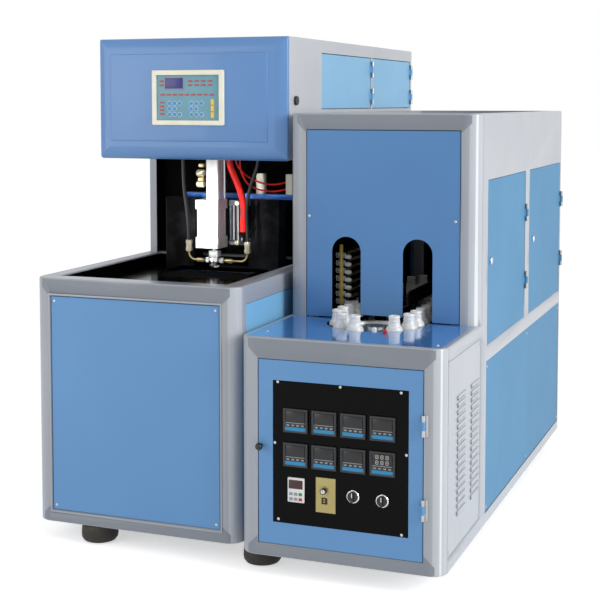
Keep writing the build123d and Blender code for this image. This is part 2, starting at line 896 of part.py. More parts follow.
def door_knob():
    """Black ball knob that turns the control door's catch."""
    ball = Pos(0, 0, door_knob_stem) * Sphere(door_knob_radius)
    neck = rod((0, 0, seat_clearance), (0, 0, door_knob_stem), door_knob_neck)
    depth = sheet + 2 * catch_thickness
    shaft = rod((0, 0, -depth), (0, 0, seat_clearance + lap), knob_shaft_radius)
    catch = Pos(0, catch_length / 3, -depth) * Box(catch_width, catch_length, catch_thickness)
    return door_knob_at() * (ball + neck + shaft + catch)


def holder_places():
    """Places of the preform holders round the chain, in order from the front of the right run."""
    places = []
    for step in range(straight_pitches):
        places.append((chain_radius, front_wheel_y + (step + 0.5) * chain_pitch))
    for step in range(holders_per_turn // 2):
        turn = 2 * pi * (step + 0.5) / holders_per_turn
        places.append((chain_radius * cos(turn), rear_wheel_y + chain_radius * sin(turn)))
    for step in range(straight_pitches):
        places.append((-chain_radius, rear_wheel_y - (step + 0.5) * chain_pitch))
    for step in range(holders_per_turn // 2):
        turn = pi + 2 * pi * (step + 0.5) / holders_per_turn
        places.append((chain_radius * cos(turn), front_wheel_y + chain_radius * sin(turn)))
    return [(heater_mid + x, y) for x, y in places]


def preform_chain():
    """Chain of flat links, each lapped over the next at a holder."""
    places = holder_places()
    links = []
    for index, here in enumerate(places):
        after = places[(index + 1) % len(places)]
        run = Vector(after[0] - here[0], after[1] - here[1])
        reach = run.length / 2 + link_width / 2
        nose = link_width / 4
        half = link_width / 2
        outline = Polyline(
            (-reach, -nose), (nose - reach, -half), (reach - nose, -half), (reach, -nose),
            (reach, nose), (reach - nose, half), (nose - reach, half), (-reach, nose), close=True,
        )
        level = chain_z + link_thickness * (index % 2)
        turn = Vector(1, 0).get_signed_angle(run, Vector(0, 0, 1))
        middle = Pos((here[0] + after[0]) / 2, (here[1] + after[1]) / 2, level)
        links.append(middle * Rot(0, 0, turn) * extrude(make_face(outline), link_thickness))
    return group(links)


def preform_holders():
    """Upright holders that carry the preforms by their necks, and one bare stud without a holder."""
    z0 = chain_z + 2 * link_thickness
    shoulder = z0 + holder_base_height
    lip = z0 + holder_height - holder_lip_height
    top = z0 + holder_height
    profile = (
        (0, z0), (holder_base_radius, z0), (holder_base_radius - holder_bevel, shoulder),
        (holder_neck_radius, shoulder + holder_lip_height), (holder_neck_radius, lip - holder_bevel),
        (holder_lip_radius, lip), (holder_lip_radius, top - holder_bevel),
        (holder_lip_radius - holder_bevel, top), (0, top),
    )
    stud_top = z0 + bare_stud_height
    stud = (
        (0, z0), (bare_stud_radius, z0), (bare_stud_radius, stud_top - holder_bevel),
        (bare_stud_radius - holder_bevel, stud_top), (0, stud_top),
    )
    places = holder_places()
    bare = len(places) - bare_place
    outlines = [stud if index == bare else profile for index in range(len(places))]
    return group(turned(outline, x, y) for outline, (x, y) in zip(outlines, places))


def chain_wheel(y, shaft_bottom):
    """Wheel that the chain runs round, with its shaft down through a cross rail."""
    rim = chain_radius * cos(pi / holders_per_turn) - link_width / 2 - seat_clearance
    flange = chain_radius + wheel_flange_overlap
    top = chain_z + 2 * link_thickness
    flange_top = chain_z - seat_clearance
    flange_bottom = flange_top - wheel_flange_thickness
    web = flange_bottom + wheel_flange_thickness / 2
    dish = rim - wheel_rim_thickness
    profile = (
        (0, shaft_bottom), (wheel_shaft_radius, shaft_bottom), (wheel_shaft_radius, rail_z + seat_clearance),
        (wheel_hub_radius, rail_z + seat_clearance),
        (wheel_hub_radius, flange_bottom), (flange, flange_bottom),
        (flange, flange_top), (rim, flange_top), (rim, top), (dish, top), (dish, flange_top),
        (wheel_hub_radius, flange_top), (wheel_hub_radius, top), (0, top),
    )
    wheel = turned(profile, heater_mid, y)
    ring = (dish + wheel_hub_radius) / 2
    hole_radius = 0.3 * (dish - wheel_hub_radius)
    for index in range(wheel_holes):
        turn = 2 * pi * index / wheel_holes
        hole = Cylinder(hole_radius, 2 * wheel_flange_thickness)
        wheel -= Pos(heater_mid + ring * cos(turn), y + ring * sin(turn), web) * hole
    return wheel


def drive_motor():
    """Gear motor hung under the rear cross rail, with a bore for the wheel's shaft."""
    top = rail_z - cross_rail_height
    half = motor_width / 2
    gearbox = span(around(heater_mid, half), around(rear_wheel_y, half), (top - gearbox_height, top))
    gearbox = chamfer(gearbox.edges().filter_by(Axis.Z), gearbox_bevel)
    socket = Cylinder(wheel_shaft_radius + running_clearance, 2 * (shaft_engagement + lap))
    gearbox -= Pos(heater_mid, rear_wheel_y, top) * socket
    can_z = top - gearbox_height - motor_length / 2
    can = Pos(heater_mid, rear_wheel_y, can_z) * Cylinder(motor_radius, motor_length)
    return gearbox + can


def lamp_rail_y(end):
    """Depth of the cross rail under one end of the lamp banks."""
    return heater_y0 + lamp_setback + (lamp_rail_inset if end == 0 else lamp_length - lamp_rail_inset)


def lamp_heights():
    """Heights of the lamps of one bank."""
    return [floor_z + lamp_first_rise + index * lamp_pitch for index in range(lamp_count)]


def quartz_lamps():
    """Straight lamps of both banks."""
    y0 = heater_y0 + lamp_setback
    solids = []
    for side in (-1, 1):
        for z in lamp_heights():
            x = heater_mid + side * lamp_offset
            solids.append(rod((x, y0, z), (x, y0 + lamp_length, z), lamp_radius))
    return group(solids)


def oven_rack():
    """Lamp posts, reflector, chain track and toothed guard of each side, welded as one."""
    y0 = heater_y0 + lamp_setback
    y1 = y0 + lamp_length
    heights = lamp_heights()
    top = heights[-1] + lamp_pitch
    solids = []
    for side in (-1, 1):
        reflector_x = off_middle(side, lamp_offset + reflector_gap, lamp_offset + reflector_gap + sheet)
        rack = span(reflector_x, (lamp_rail_y(0), lamp_rail_y(1)), (heights[0] - lamp_pitch, top))
        for end in (0, 1):
            y = lamp_rail_y(end)
            post_x = off_middle(side, lamp_offset - post_inside, lamp_offset + post_outside)
            post = span(post_x, around(y, post_thickness / 2), (rail_z, top))
            for z in heights:
                hole = Rot(90, 0, 0) * Cylinder(lamp_radius + seat_clearance, 2 * post_thickness)
                post -= Pos(heater_mid + side * lamp_offset, y, z) * hole
            arm_x = off_middle(side, guard_offset, lamp_offset)
            arm_z = (chain_z - guard_arm_drop, chain_z - track_thickness + lap)
            rack += post + span(arm_x, around(y, guard_arm_width / 2), arm_z)
        track_x = off_middle(side, chain_radius - track_half_width, chain_radius + track_half_width)
        rack += span(track_x, (y0, y1), (chain_z - track_thickness, chain_z))
        solids.append(rack + toothed_guard(side, y1))
    return group(solids)


def off_middle(side, near, far):
    """Width range on one side of the heater's middle."""
    return tuple(sorted((heater_mid + side * near, heater_mid + side * far)))


def toothed_guard(side, y1):
    """Guard strip inside the holders' run, on two stays, with square teeth on its upper edge."""
    y0 = heater_y0 + guard_setback
    bottom, top = moved(guard_rise, floor_z)
    x = off_middle(side, guard_offset, guard_offset + guard_thickness)
    guard = span(x, (y0, y1), (bottom, top))
    for end in (0, 1):
        stay_y = around(lamp_rail_y(end), guard_stay_width / 2)
        guard += span(x, stay_y, (chain_z - guard_arm_drop, bottom + lap))
    notch_x = off_middle(side, guard_offset - lap, guard_offset + guard_thickness + lap)
    teeth = int((y1 - y0) / (2 * guard_tooth)) - 1
    for index in range(teeth):
        y = y0 + (2 * index + 1.5) * guard_tooth
        guard -= span(notch_x, (y, y + guard_tooth), (top - guard_tooth, top + lap))
    return guard


def blower_frame():
    """Welded frame of the blowing unit's base, with the beams that carry the clamp."""
    x, y, z = (blower_x0, blower_x1), (blower_y0, blower_y1), (floor_z, base_z)
    frame = rounded_box(x, y, z, corner_radius, edge_radius)
    inner_x, inner_y = shrink(x, frame_bar), shrink(y, frame_bar)
    frame -= span(inner_x, inner_y, (z[0] + frame_bar, z[1] - frame_bar))
    frame -= window(blower_front, inner_x, blower_window_z())
    frame -= window(blower_rear, inner_x, blower_window_z())
    for side in (blower_left, blower_right):
        frame -= window(side, inner_y, blower_window_z())
    tray_y = tray_range_y()
    frame -= span(inner_x, tray_y, (tray_z - tray_sheet, z[1] + cut_over))
    below_top = z[1] - frame_bar - lap
    frame -= span(shrink(inner_x, panel_stop), shrink(tray_y, panel_stop), (below_top, z[1]))
    frame -= span(inner_x, (tray_y[1] + frame_bar, inner_y[1]), (below_top, z[1] + cut_over))
    frame -= span(inner_x, inner_y, (z[0] - lap, z[0] + frame_bar + lap))
    post_z = (z[0] + frame_bar - panel_stop, z[1] - blower_side_rail - panel_stop + lap)
    for offset in (-tie_bar_y, tie_bar_y):
        y = around(axis_y + offset, clamp_beam_height / 2)
        frame += span(shrink(inner_x, -lap), y, clamp_beam_z())
        for post_x in inner_posts(blower_x0, blower_x1):
            frame += span(post_x, y, post_z)
    return frame + foot_rails(blower_x0, blower_x1)


def blower_window_z():
    """Height range of the blowing unit's windows."""
    return (floor_z + blower_sill, base_z - blower_side_rail)


def tray_range_y():
    """Depth range of the tray's opening in the base's top."""
    return (blower_y0 + frame_bar, blower_y0 + tray_rear)


def clamp_beam_z():
    """Height range of the beams under the clamp."""
    return (mould_z0 - clamp_beam_gap - clamp_beam_height, mould_z0 - clamp_beam_gap)


def blower_side_panels():
    """Blue side panels of the base."""
    y = shrink((blower_y0, blower_y1), frame_bar)
    return group(tray(side, y, blower_window_z()) for side in (blower_left, blower_right))


def table_tray():
    """Black sunken tray round the mould well."""
    x = shrink((blower_x0, blower_x1), frame_bar + seat_clearance)
    y = shrink(tray_range_y(), seat_clearance)
    pan = span(x, y, (tray_z - tray_sheet, base_z - tray_rim_drop))
    pan -= span(shrink(x, tray_sheet), shrink(y, tray_sheet), (tray_z, base_z))
    well_x, well_y = around(axis_x, mould_well_x), around(axis_y, mould_well_y)
    lip_x = shrink(well_x, -tray_sheet)
    lip_y = shrink(well_y, -tray_sheet)
    lip = span(lip_x, lip_y, (tray_z - tray_sheet, tray_z + well_lip))
    return pan + lip - span(well_x, well_y, around(tray_z, tray_depth))


def rear_cabinet():
    """Folded sheet cabinet between the base and the head, open to the front."""
    x = shrink(head_x, cabinet_inset)
    y = (blower_y0 + tray_rear, blower_y1 - cabinet_inset)
    z = (base_z, head_z0)
    shell = span(x, y, z)
    shell = fillet(shell.edges().filter_by(Axis.Z).sort_by(Axis.Y)[2:], cabinet_corner)
    inside = span(shrink(x, cabinet_sheet), (y[0] + cabinet_sheet, y[1] - cabinet_sheet), shrink(z, -lap))
    inside = fillet(inside.edges().filter_by(Axis.Z).sort_by(Axis.Y)[2:], cabinet_corner - cabinet_sheet)
    mouth = span(shrink(x, cabinet_flange), (y[0] - lap, y[0] + 2 * cabinet_sheet), shrink(z, -lap))
    return shell - inside - mouth


def bulkhead():
    """Black wall behind the working space, standing on the base's cross rail."""
    x = shrink(head_x, cabinet_inset + cabinet_sheet + seat_clearance)
    y = moved((0, sheet), blower_y0 + bulkhead_setback)
    return span(x, y, (base_z, head_z0))


def head_box_y():
    """Depth range of the head's sheet box."""
    return (head_y0 + cover_depth, blower_y1)


def head_shell():
    """Sheet box of the head, with door windows on its right and holes in its floor."""
    x, y, z = head_x, head_box_y(), (head_z0, head_z1)
    shell = span(x, y, z)
    shell = fillet(shell.edges().filter_by(Axis.Z).sort_by(Axis.Y)[2:], head_corner)
    inside_x = (x[0] + head_wall, x[1] - head_side)
    inside = span(inside_x, (y[0] - lap, y[1] - head_wall), (z[0] + head_floor, z[1] - head_wall))
    inside = fillet(inside.edges().filter_by(Axis.Z).sort_by(Axis.Y)[2:], head_corner - head_wall)
    shell -= inside
    for door_y in head_door_spans:
        shell -= window(head_right, moved(door_y, head_y0), head_door_z(), head_side)
    half = column_side / 2 + seat_clearance
    shell -= span(around(axis_x, half), around(axis_y, half), around(z[0], 2 * head_floor))
    for hole_x, hole_y, radius in floor_holes():
        shell -= Pos(hole_x, hole_y, z[0]) * Cylinder(radius + seat_clearance, 4 * head_floor)
    return shell - head_knob_at() * Cylinder(knob_shaft_radius + running_clearance, 4 * head_side)


def floor_holes():
    """Where the hoses and tubes pass through the head's floor, with their radii."""
    left, right, red = left_hose[-1], right_hose[-1], red_hose[0]
    holes = [(left[0], left[1], hose_radius), (right[0], right[1], hose_radius)]
    holes.append((red[0], red[1], red_hose_radius))
    holes += [(points[0][0], points[0][1], thin_tube_radius) for points in thin_tubes]
    return [(axis_x + x, axis_y + y, r) for x, y, r in holes]


def head_door_z():
    """Height range of the head's doors."""
    return (floor_z + head_door_bottom_rise, floor_z + head_door_top_rise)


def head_door(door_y):
    """Light side door of the head with its hinge knuckles."""
    door = tray(head_right, moved(door_y, head_y0), head_door_z())
    for place in head_hinge_places(door_y):
        door += door_knuckle(*place, "x")
    return door


def head_cover():
    """Blue front cover with a wide sloping border round a raised field."""
    x, y, z = head_x, (head_y0, head_y0 + cover_depth), (head_z0, head_z1)
    cover = span(x, y, z)
    front = cover.faces().sort_by(Axis.Y)[0]
    cover = chamfer(front.edges(), cover_border, cover_slope, reference=front)
    cover = fillet(cover.faces().sort_by(Axis.Y)[0].edges(), cover_edge)
    inner_x, inner_z = shrink(x, cover_border + cover_wall), shrink(z, cover_border + cover_wall)
    inner = span(inner_x, (y[0] + cover_wall, y[1] + lap), inner_z)
    pad_x = (blower_x0 + cover_pad_left, blower_x1 - cover_pad_right)
    pad = span(pad_x, (y[0] - cover_pad_height, y[0] + lap), moved(cover_pad_rise, head_z0))
    pad = fillet(pad.edges().filter_by(Axis.Y), cover_pad_corner)
    pad = chamfer(pad.faces().sort_by(Axis.Y)[0].edges(), cover_pad_height / 2)
    return cover - inner + pad


def pad_face():
    """Plane of the cover's raised field."""
    return head_y0 - cover_pad_height


def control_bezel():
    """Cream frame round the keypad."""
    x, z = moved(bezel_x, blower_x0), moved(bezel_rise, floor_z)
    bezel = span(x, (pad_face() - bezel_height, pad_face()), z)
    bezel = fillet(bezel.edges().filter_by(Axis.Y), bezel_corner)
    bezel = fillet(bezel.faces().sort_by(Axis.Y)[0].edges(), bezel_edge)
    through = (pad_face() - bezel_height - lap, pad_face() + lap)
    return bezel - span(shrink(x, bezel_border), through, shrink(z, bezel_border))


def control_keypad():
    """Membrane keypad with a window for the display and domed keys."""
    x, z = moved(bezel_x, blower_x0), moved(bezel_rise, floor_z)
    x, z = shrink(x, bezel_border + seat_clearance), shrink(z, bezel_border + seat_clearance)
    front = pad_face() - keypad_height
    pad = span(x, (front, pad_face()), z)
    display = span(moved(display_x, x[0]), (front - lap, front + display_depth), moved(display_z, z[0]))
    keys = []
    for left in key_groups_x:
        for column in range(3):
            for row in range(3):
                place = Pos(x[0] + left + key_pitch * column, front, z[0] + key_first_z + key_pitch * row)
                if (column, row) != (2, 1):
                    keys.append(place * Rot(90, 0, 0) * Cylinder(key_radius, 2 * key_height))
    return pad - display + keys


def head_knob_at():
    """Placement of the knob on the head's right side, local z pointing out."""
    return Pos(blower_x1, head_y0 + head_knob_place[0], floor_z + head_knob_place[1]) * Rot(0, 90, 0)


def head_knob():
    """Black knob that turns the catch of the head's cover."""
    body = Pos(0, 0, seat_clearance + head_knob_height / 2) * Cylinder(head_knob_radius, head_knob_height)
    body = chamfer(body.edges().sort_by(Axis.Z)[-1], knob_bevel)
    shaft = rod((0, 0, -head_catch_depth), (0, 0, seat_clearance + lap), knob_shaft_radius)
    catch = Pos(0, catch_length / 3, -head_catch_depth) * Box(catch_width, catch_length, catch_thickness)
    return head_knob_at() * (body + shaft + catch)


def stretch_cylinder():
    """Long square cylinder whose flange rests on the head's floor."""
    z = (floor_z + cap_top_rise[1], column_top)
    column = span(around(axis_x, column_side / 2), around(axis_y, column_side / 2), z)
    column = fillet(column.edges().filter_by(Axis.Z), column_corner)
    plate_z = head_z0 + head_floor
    half = column_flange / 2
    column += span(around(axis_x, half), around(axis_y, half), (plate_z, plate_z + column_flange_height))
    return column - rod((axis_x, axis_y, z[0] - lap), (axis_x, axis_y, z[1] - column_end), column_bore)


def seal_cylinder():
    """Caps and barrel of the seal cylinder, and the guide rod up to the head."""
    lower, upper = moved(cap_bottom_rise, floor_z), moved(cap_top_rise, floor_z)
    solids = []
    for z, bore in ((lower, piston_rod_radius + running_clearance), (upper, rod_way_radius)):
        cap = span(around(body_x, cylinder_cap / 2), around(axis_y, cylinder_cap / 2), z)
        cap = fillet(cap.edges().filter_by(Axis.Z), cylinder_cap_corner)
        cap = chamfer(cap.faces().filter_by(Axis.Z).edges(), cylinder_bevel)
        solids.append(cap - Pos(axis_x, axis_y, sum(z) / 2) * Cylinder(bore, 2 * (z[1] - z[0])))
    solids.append(cylinder_barrel((lower[1], upper[0])))
    guide_x, guide_y = body_x + guide_rod_place[0], axis_y + guide_rod_place[1]
    solids.append(rod((guide_x, guide_y, upper[1]), (guide_x, guide_y, head_z0), guide_rod_radius))
    return group(solids)


def cylinder_barrel(z):
    """Grooved square barrel of the seal cylinder with its bore on the blowing axis."""
    half = cylinder_body / 2
    barrel = span(around(body_x, half), around(axis_y, half), z)
    barrel = fillet(barrel.edges().filter_by(Axis.Z), cylinder_body_corner)
    middle, length = (z[0] + z[1]) / 2, 2 * (z[1] - z[0])
    barrel -= Pos(axis_x, axis_y, middle) * Cylinder(barrel_bore_radius, length)
    groove = Cylinder(cylinder_groove_radius, length)
    for side in (-1, 1):
        for offset in (-cylinder_groove_offset, cylinder_groove_offset):
            barrel -= Pos(body_x + offset, axis_y + side * half, middle) * groove
            barrel -= Pos(body_x + side * half, axis_y + offset, middle) * groove
    return barrel


def seal_block():
    """Piston, hollow rod, block and the round chrome nozzle, moving down to seal."""
    z0, z1 = moved(seal_block_rise, floor_z)
    piston_top = floor_z + cap_top_rise[0] - piston_top_gap
    block = span(around(axis_x, seal_block_half), around(axis_y, seal_block_half), (z0, z1))
    block = chamfer(block.edges().filter_by(Axis.Z), seal_block_bevel)
    block += rod((axis_x, axis_y, z1 - lap), (axis_x, axis_y, piston_top), piston_rod_radius)
    block += rod((axis_x, axis_y, piston_top - piston_thickness), (axis_x, axis_y, piston_top), piston_radius)
    tip = z0 - nozzle_length
    neck = z0 - nozzle_neck_length
    profile = (
        (0, z0 + lap), (nozzle_neck_radius, z0 + lap), (nozzle_neck_radius, neck), (nozzle_radius, neck),
        (nozzle_radius, tip + nozzle_corner), (nozzle_radius - nozzle_corner, tip), (0, tip),
    )
    block += turned(profile, axis_x, axis_y)
    way = rod((axis_x, axis_y, tip - lap), (axis_x, axis_y, piston_top + lap), stretch_rod_radius + running_clearance)
    return block - way


def stretch_rod():
    """Thin rod that pushes the preform down inside the mould."""
    z1 = column_top - rod_top_gap
    body = Pos(axis_x, axis_y, (rod_tip_z + z1) / 2) * Cylinder(stretch_rod_radius, z1 - rod_tip_z)
    return fillet(body.edges().sort_by(Axis.Z)[0], stretch_rod_radius / 2)


def elbow_pipe(side, reach):
    """Bent pipe from a port on the nozzle's side up to a hose fitting."""
    z = floor_z + pipe_rise
    x0 = axis_x + side * nozzle_radius
    port = x0 + side * pipe_port_length
    x1 = axis_x + side * reach
    top = floor_z + pipe_top_rise
    corners = ((port - side * lap, axis_y, z), (x1, axis_y, z), (x1, axis_y, top))
    path = FilletPolyline(*corners, radius=pipe_bend)
    pipe = sweep(Plane((port - side * lap, axis_y, z), z_dir=(side, 0, 0)) * Circle(pipe_radius), path)
    pipe += rod((x0 - side * pipe_port_seat, axis_y, z), (port, axis_y, z), pipe_port_radius)
    pipe -= Pos(axis_x, axis_y, z) * Cylinder(nozzle_radius + running_clearance, 4 * pipe_port_radius)
    nut_x = port + side * pipe_port_length
    nut = rod((nut_x, axis_y, z), (nut_x + side * pipe_nut_length, axis_y, z), pipe_nut_radius)
    fitting = rod((x1, axis_y, top - lap), (x1, axis_y, top + hose_fitting_length), hose_fitting_radius)
    return pipe + nut + fitting


def hose_start(side):
    """Top of a hose fitting, relative to the blowing axis."""
    return (-left_pipe_reach if side < 0 else right_pipe_reach, 0.0, pipe_top_rise + hose_fitting_length)


def air_pipes():
    """The two bent pipes that feed the nozzle."""
    return group([elbow_pipe(-1, left_pipe_reach), elbow_pipe(1, right_pipe_reach)])


def on_axis(points):
    """Route points moved from the blowing axis into the machine's frame."""
    return [(axis_x + x, axis_y + y, floor_z + z) for x, y, z in points]


def air_hoses():
    """Black hoses from the head's floor to the bent pipes."""
    routes = (hose_route(-1, left_hose), hose_route(1, right_hose))
    return group(hose(on_axis(route), hose_radius) for route in routes)


def hose_route(side, points):
    """Whole route of a black hose, from its fitting up through the head's floor."""
    x, y, z = hose_start(side)
    return ((x, y, z), (x, y, z + hose_straight)) + points + (head_entry(points[-1]),)


def head_entry(point):
    """Place inside the head above a point that a hose comes from."""
    return (point[0], point[1], head_bottom_rise + hose_in_head)


def red_hoses():
    """Thick red hose to the gantry's lug and two thin red tubes to the right air block."""
    thick = hose(on_axis((head_entry(red_hose[0]),) + red_hose), red_hose_radius)
    thin = [hose(on_axis((head_entry(points[0]),) + points), thin_tube_radius) for points in thin_tubes]
    return group([thick] + [tube - air_block(air_block_x[1]) for tube in thin])


def gantry():
    """Two dark uprights with a beam across them."""
    y = moved((0, gantry_post_depth), blower_y0 + gantry_front)
    top = floor_z + gantry_rise
    frame = span(moved(gantry_beam_x, blower_mid), (y[1] - gantry_beam_depth, y[1]), (top, top + gantry_beam_height))
    for side in (-1, 1):
        x = tuple(sorted((blower_mid + side * gantry_post_x[0], blower_mid + side * gantry_post_x[1])))
        post = span(x, y, (tray_z, top))
        post = chamfer(post.edges().filter_by(Axis.Z), gantry_post_bevel)
        frame += post
    lug_y = (y[0] - hose_lug_depth, y[0] + lap)
    return frame + span(moved(hose_lug_x, blower_mid), lug_y, moved(hose_lug_rise, floor_z))


def air_block(offset):
    """Cream air block at a distance from the blowing axis."""
    z0 = floor_z + gantry_rise + gantry_beam_height
    y = blower_y0 + gantry_front + gantry_post_depth - gantry_beam_depth / 2
    x = around(blower_mid + offset, air_block_width / 2)
    block = span(x, around(y, air_block_depth / 2), (z0, z0 + air_block_height))
    return chamfer(block.edges().filter_by(Axis.Z), air_block_bevel)


def air_manifold():
    """Two cream air blocks on the gantry's beam."""
    return group(air_block(offset) for offset in air_block_x)


def side_cylinder():
    """Dark cylinder with bright tie rods, held by two ears on the right upright."""
    z0, z1 = moved(side_cylinder_rise, floor_z)
    half = side_cylinder_side / 2
    x, y = blower_mid + side_cylinder_x, blower_y0 + gantry_front - half
    body = rod((x, y, z0 + lap), (x, y, z1 - lap), half - tie_rod_radius)
    ear_x = (x + half - lap, blower_mid + gantry_post_x[0] + side_ear_lap)
    for z in ((z0, z0 + side_cap_height), (z1 - side_cap_height, z1)):
        body += span(around(x, half), around(y, half), z)
        body += span(ear_x, (y + half - side_ear_thickness, y + half), z)
    inset = half - tie_rod_radius - lap
    for dx in (-1, 1):
        for dy in (-1, 1):
            tie_x, tie_y = x + dx * inset, y + dy * inset
            body += rod((tie_x, tie_y, z0), (tie_x, tie_y, z1), tie_rod_radius)
    return body


def mould_half(side):
    """Aluminium mould half with half a bottle sunk into its face."""
    near = axis_x + side * mould_travel
    far = axis_x + side * (mould_travel + mould_thickness)
    block = span(tuple(sorted((near, far))), around(axis_y, mould_half_width), (mould_z0, mould_z1))
    shoulder = mould_z1 - neck_depth
    base = bottle_base_z
    profile = (
        (0, base), (bottle_radius - bottle_heel, base), (bottle_radius, base + bottle_heel),
        (bottle_radius, shoulder - bottle_shoulder), (bottle_neck_radius, shoulder),
        (bottle_neck_radius, mould_z1 + lap), (0, mould_z1 + lap),
    )
    return block - turned(profile, near, axis_y)


def clamp_platen(side):
    """Platen on four tie bars, with the clamp cylinder's rod behind it."""
    near = mould_travel + mould_thickness
    far = near + platen_thickness
    x = tuple(sorted((axis_x + side * near, axis_x + side * far)))
    plate = span(x, around(axis_y, platen_half_width), (mould_z0 - clamp_beam_gap / 2, mould_z1))
    for y, z in tie_bar_places():
        plate -= rod((x[0] - lap, y, z), (x[1] + lap, y, z), tie_bar_radius + running_clearance)
    mid_z = (mould_z0 + mould_z1) / 2
    start = axis_x + side * (far - lap)
    end = axis_x + side * (end_plate_reach()[1] + clamp_barrel_length - clamp_rod_gap)
    return plate + rod((start, axis_y, mid_z), (end, axis_y, mid_z), clamp_rod_radius)


def tie_bar_places():
    """Places of the four tie bars across the clamp."""
    heights = (mould_z0 + tie_bar_inset[0], mould_z1 - tie_bar_inset[1])
    return [(axis_y + side, z) for side in (-tie_bar_y, tie_bar_y) for z in heights]


def end_plate_reach():
    """Inner and outer distance of the end plates from the blowing axis."""
    inner = mould_travel + mould_thickness + platen_thickness + end_plate_gap
    return (inner, inner + end_plate_thickness)


def tie_bars():
    """Four ground bars that the platens slide on."""
    reach = end_plate_reach()[1]
    return group(rod((axis_x - reach, y, z), (axis_x + reach, y, z), tie_bar_radius) for y, z in tie_bar_places())


def clamp_cylinders():
    """End plates with the clamp cylinders' barrels on their outer sides."""
    inner, outer = end_plate_reach()
    mid_z = (mould_z0 + mould_z1) / 2
    solids = []
    for side in (-1, 1):
        x = tuple(sorted((axis_x + side * inner, axis_x + side * outer)))
        plate = span(x, around(axis_y, end_plate_half_width), (clamp_beam_z()[1], mould_z1))
        for y, z in tie_bar_places():
            plate -= rod((x[0] - lap, y, z), (x[1] + lap, y, z), tie_bar_radius + running_clearance)
        start, end = axis_x + side * (outer - lap), axis_x + side * (outer + clamp_barrel_length)
        plate += rod((start, axis_y, mid_z), (end, axis_y, mid_z), clamp_barrel_radius)
        bore = (axis_x + side * (inner - lap), end - side * clamp_cap_thickness)
        plate -= rod((bore[0], axis_y, mid_z), (bore[1], axis_y, mid_z), clamp_rod_radius + running_clearance)
        solids.append(plate)
    return group(solids)


def foot_places():
    """Centres of the eight feet."""
    places = []
    for x0, x1, y1, inset in (
        (blower_x0, blower_x1, blower_y1, blower_foot_inset_x),
        (heater_x0, heater_x1, heater_y1, heater_foot_inset_x),
    ):
        left, right, rear = x0 + inset, x1 - right_foot_inset_x, y1 - rear_foot_inset_y
        places += [(left, heater_y0 + left_foot_inset_y), (right, heater_y0 + right_foot_inset_y)]
        places += [(left, rear), (right, rear)]
    return places


def foot_rails(x0, x1):
    """Rails across the bottom of a unit, over its feet."""
    x = shrink((x0, x1), frame_bar - lap)
    middles = [y for foot_x, y in foot_places() if x0 < foot_x < x1]
    return [span(x, around(y, foot_rail_width / 2), (floor_z, floor_z + foot_rail_height)) for y in middles]


def feet():
    """Thick rubber feet under the frames, rounded towards the floor."""
    bulge = (foot_radius + foot_base_radius) / 2
    profile = (
        (0, 0), (foot_base_radius, 0), (bulge + foot_top_bevel / 2, foot_round_height / 3),
        (foot_radius, foot_round_height), (foot_radius, foot_height - foot_top_bevel),
        (foot_top_radius, foot_height), (0, foot_height),
    )
    return group(turned(profile, x, y) for x, y in foot_places())


nodes = {
    "blower_frame": blower_frame(),
    "blower_front_panel": tray(blower_front, shrink((blower_x0, blower_x1), frame_bar), blower_window_z()),
    "blower_side_panels": blower_side_panels(),
    "blower_rear_panel": tray(blower_rear, shrink((blower_x0, blower_x1), frame_bar), blower_window_z()),
    "table_tray": table_tray(),
    "rear_cabinet": rear_cabinet(),
    "bulkhead": bulkhead(),
    "head_shell": head_shell(),
    "head_cover": head_cover(),
    "head_door_front": head_door(head_door_spans[0]),
    "head_door_rear": head_door(head_door_spans[1]),
    "control_bezel": control_bezel(),
    "control_keypad": control_keypad(),
    "head_knob": head_knob(),
    "stretch_cylinder": stretch_cylinder(),
    "seal_cylinder": seal_cylinder(),
    "seal_block": seal_block(),
    "stretch_rod": stretch_rod(),
    "air_pipes": air_pipes(),
    "air_hoses": air_hoses(),
    "red_hoses": red_hoses(),
    "side_cylinder": side_cylinder(),
    "air_manifold": air_manifold(),
    "gantry": gantry(),
    "clamp_platen_left": clamp_platen(-1),
    "clamp_platen_right": clamp_platen(1),
    "mould_half_left": mould_half(-1),
    "mould_half_right": mould_half(1),
    "tie_bars": tie_bars(),
    "clamp_cylinders": clamp_cylinders(),
    "heater_frame": heater_frame(),
    "louvre_panel": louvre_panel(),
    "lower_side_panel": tray(heater_right, *side_windows()[1]),
    "heater_left_panel": heater_left_panel(),
    "heater_rear_panel": tray(heater_rear, front_span, rear_window_z()),
    "tower_door_front": tower_door(front_door_y, latch_places[0]),
    "tower_door_rear": tower_door(rear_door_y, latch_places[1]),
    "tower_latch_front": tower_latch(latch_places[0]),
    "tower_latch_rear": tower_latch(latch_places[1]),
    "tower_front_panel": tower_front_panel(),
    "tower_roof": tower_roof(),
    "heater_table": heater_table(),
    "control_door": control_door(),
    "control_sheet": control_sheet(),
    "panel_instruments": panel_instruments(),
    "speed_controller": speed_controller(),
    "speed_knob": speed_knob(),
    "power_rocker": power_rocker(),
    "selector_left": selector(selector_places[0]),
    "selector_right": selector(selector_places[1]),
    "door_knob": door_knob(),
    "preform_chain": preform_chain(),
    "preform_holders": preform_holders(),
    "chain_wheel_front": chain_wheel(front_wheel_y, rail_z - cross_rail_height + 4),
    "chain_wheel_rear": chain_wheel(rear_wheel_y, rail_z - cross_rail_height - shaft_engagement),
    "quartz_lamps": quartz_lamps(),
    "oven_rack": oven_rack(),
    "drive_motor": drive_motor(),
    "hinge_pins": hinge_pins(),
    "feet": feet(),
}

for name, shape in nodes.items():
    export_step(shape, f"parts/{name}.step")
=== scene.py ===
import math
from contextlib import contextmanager

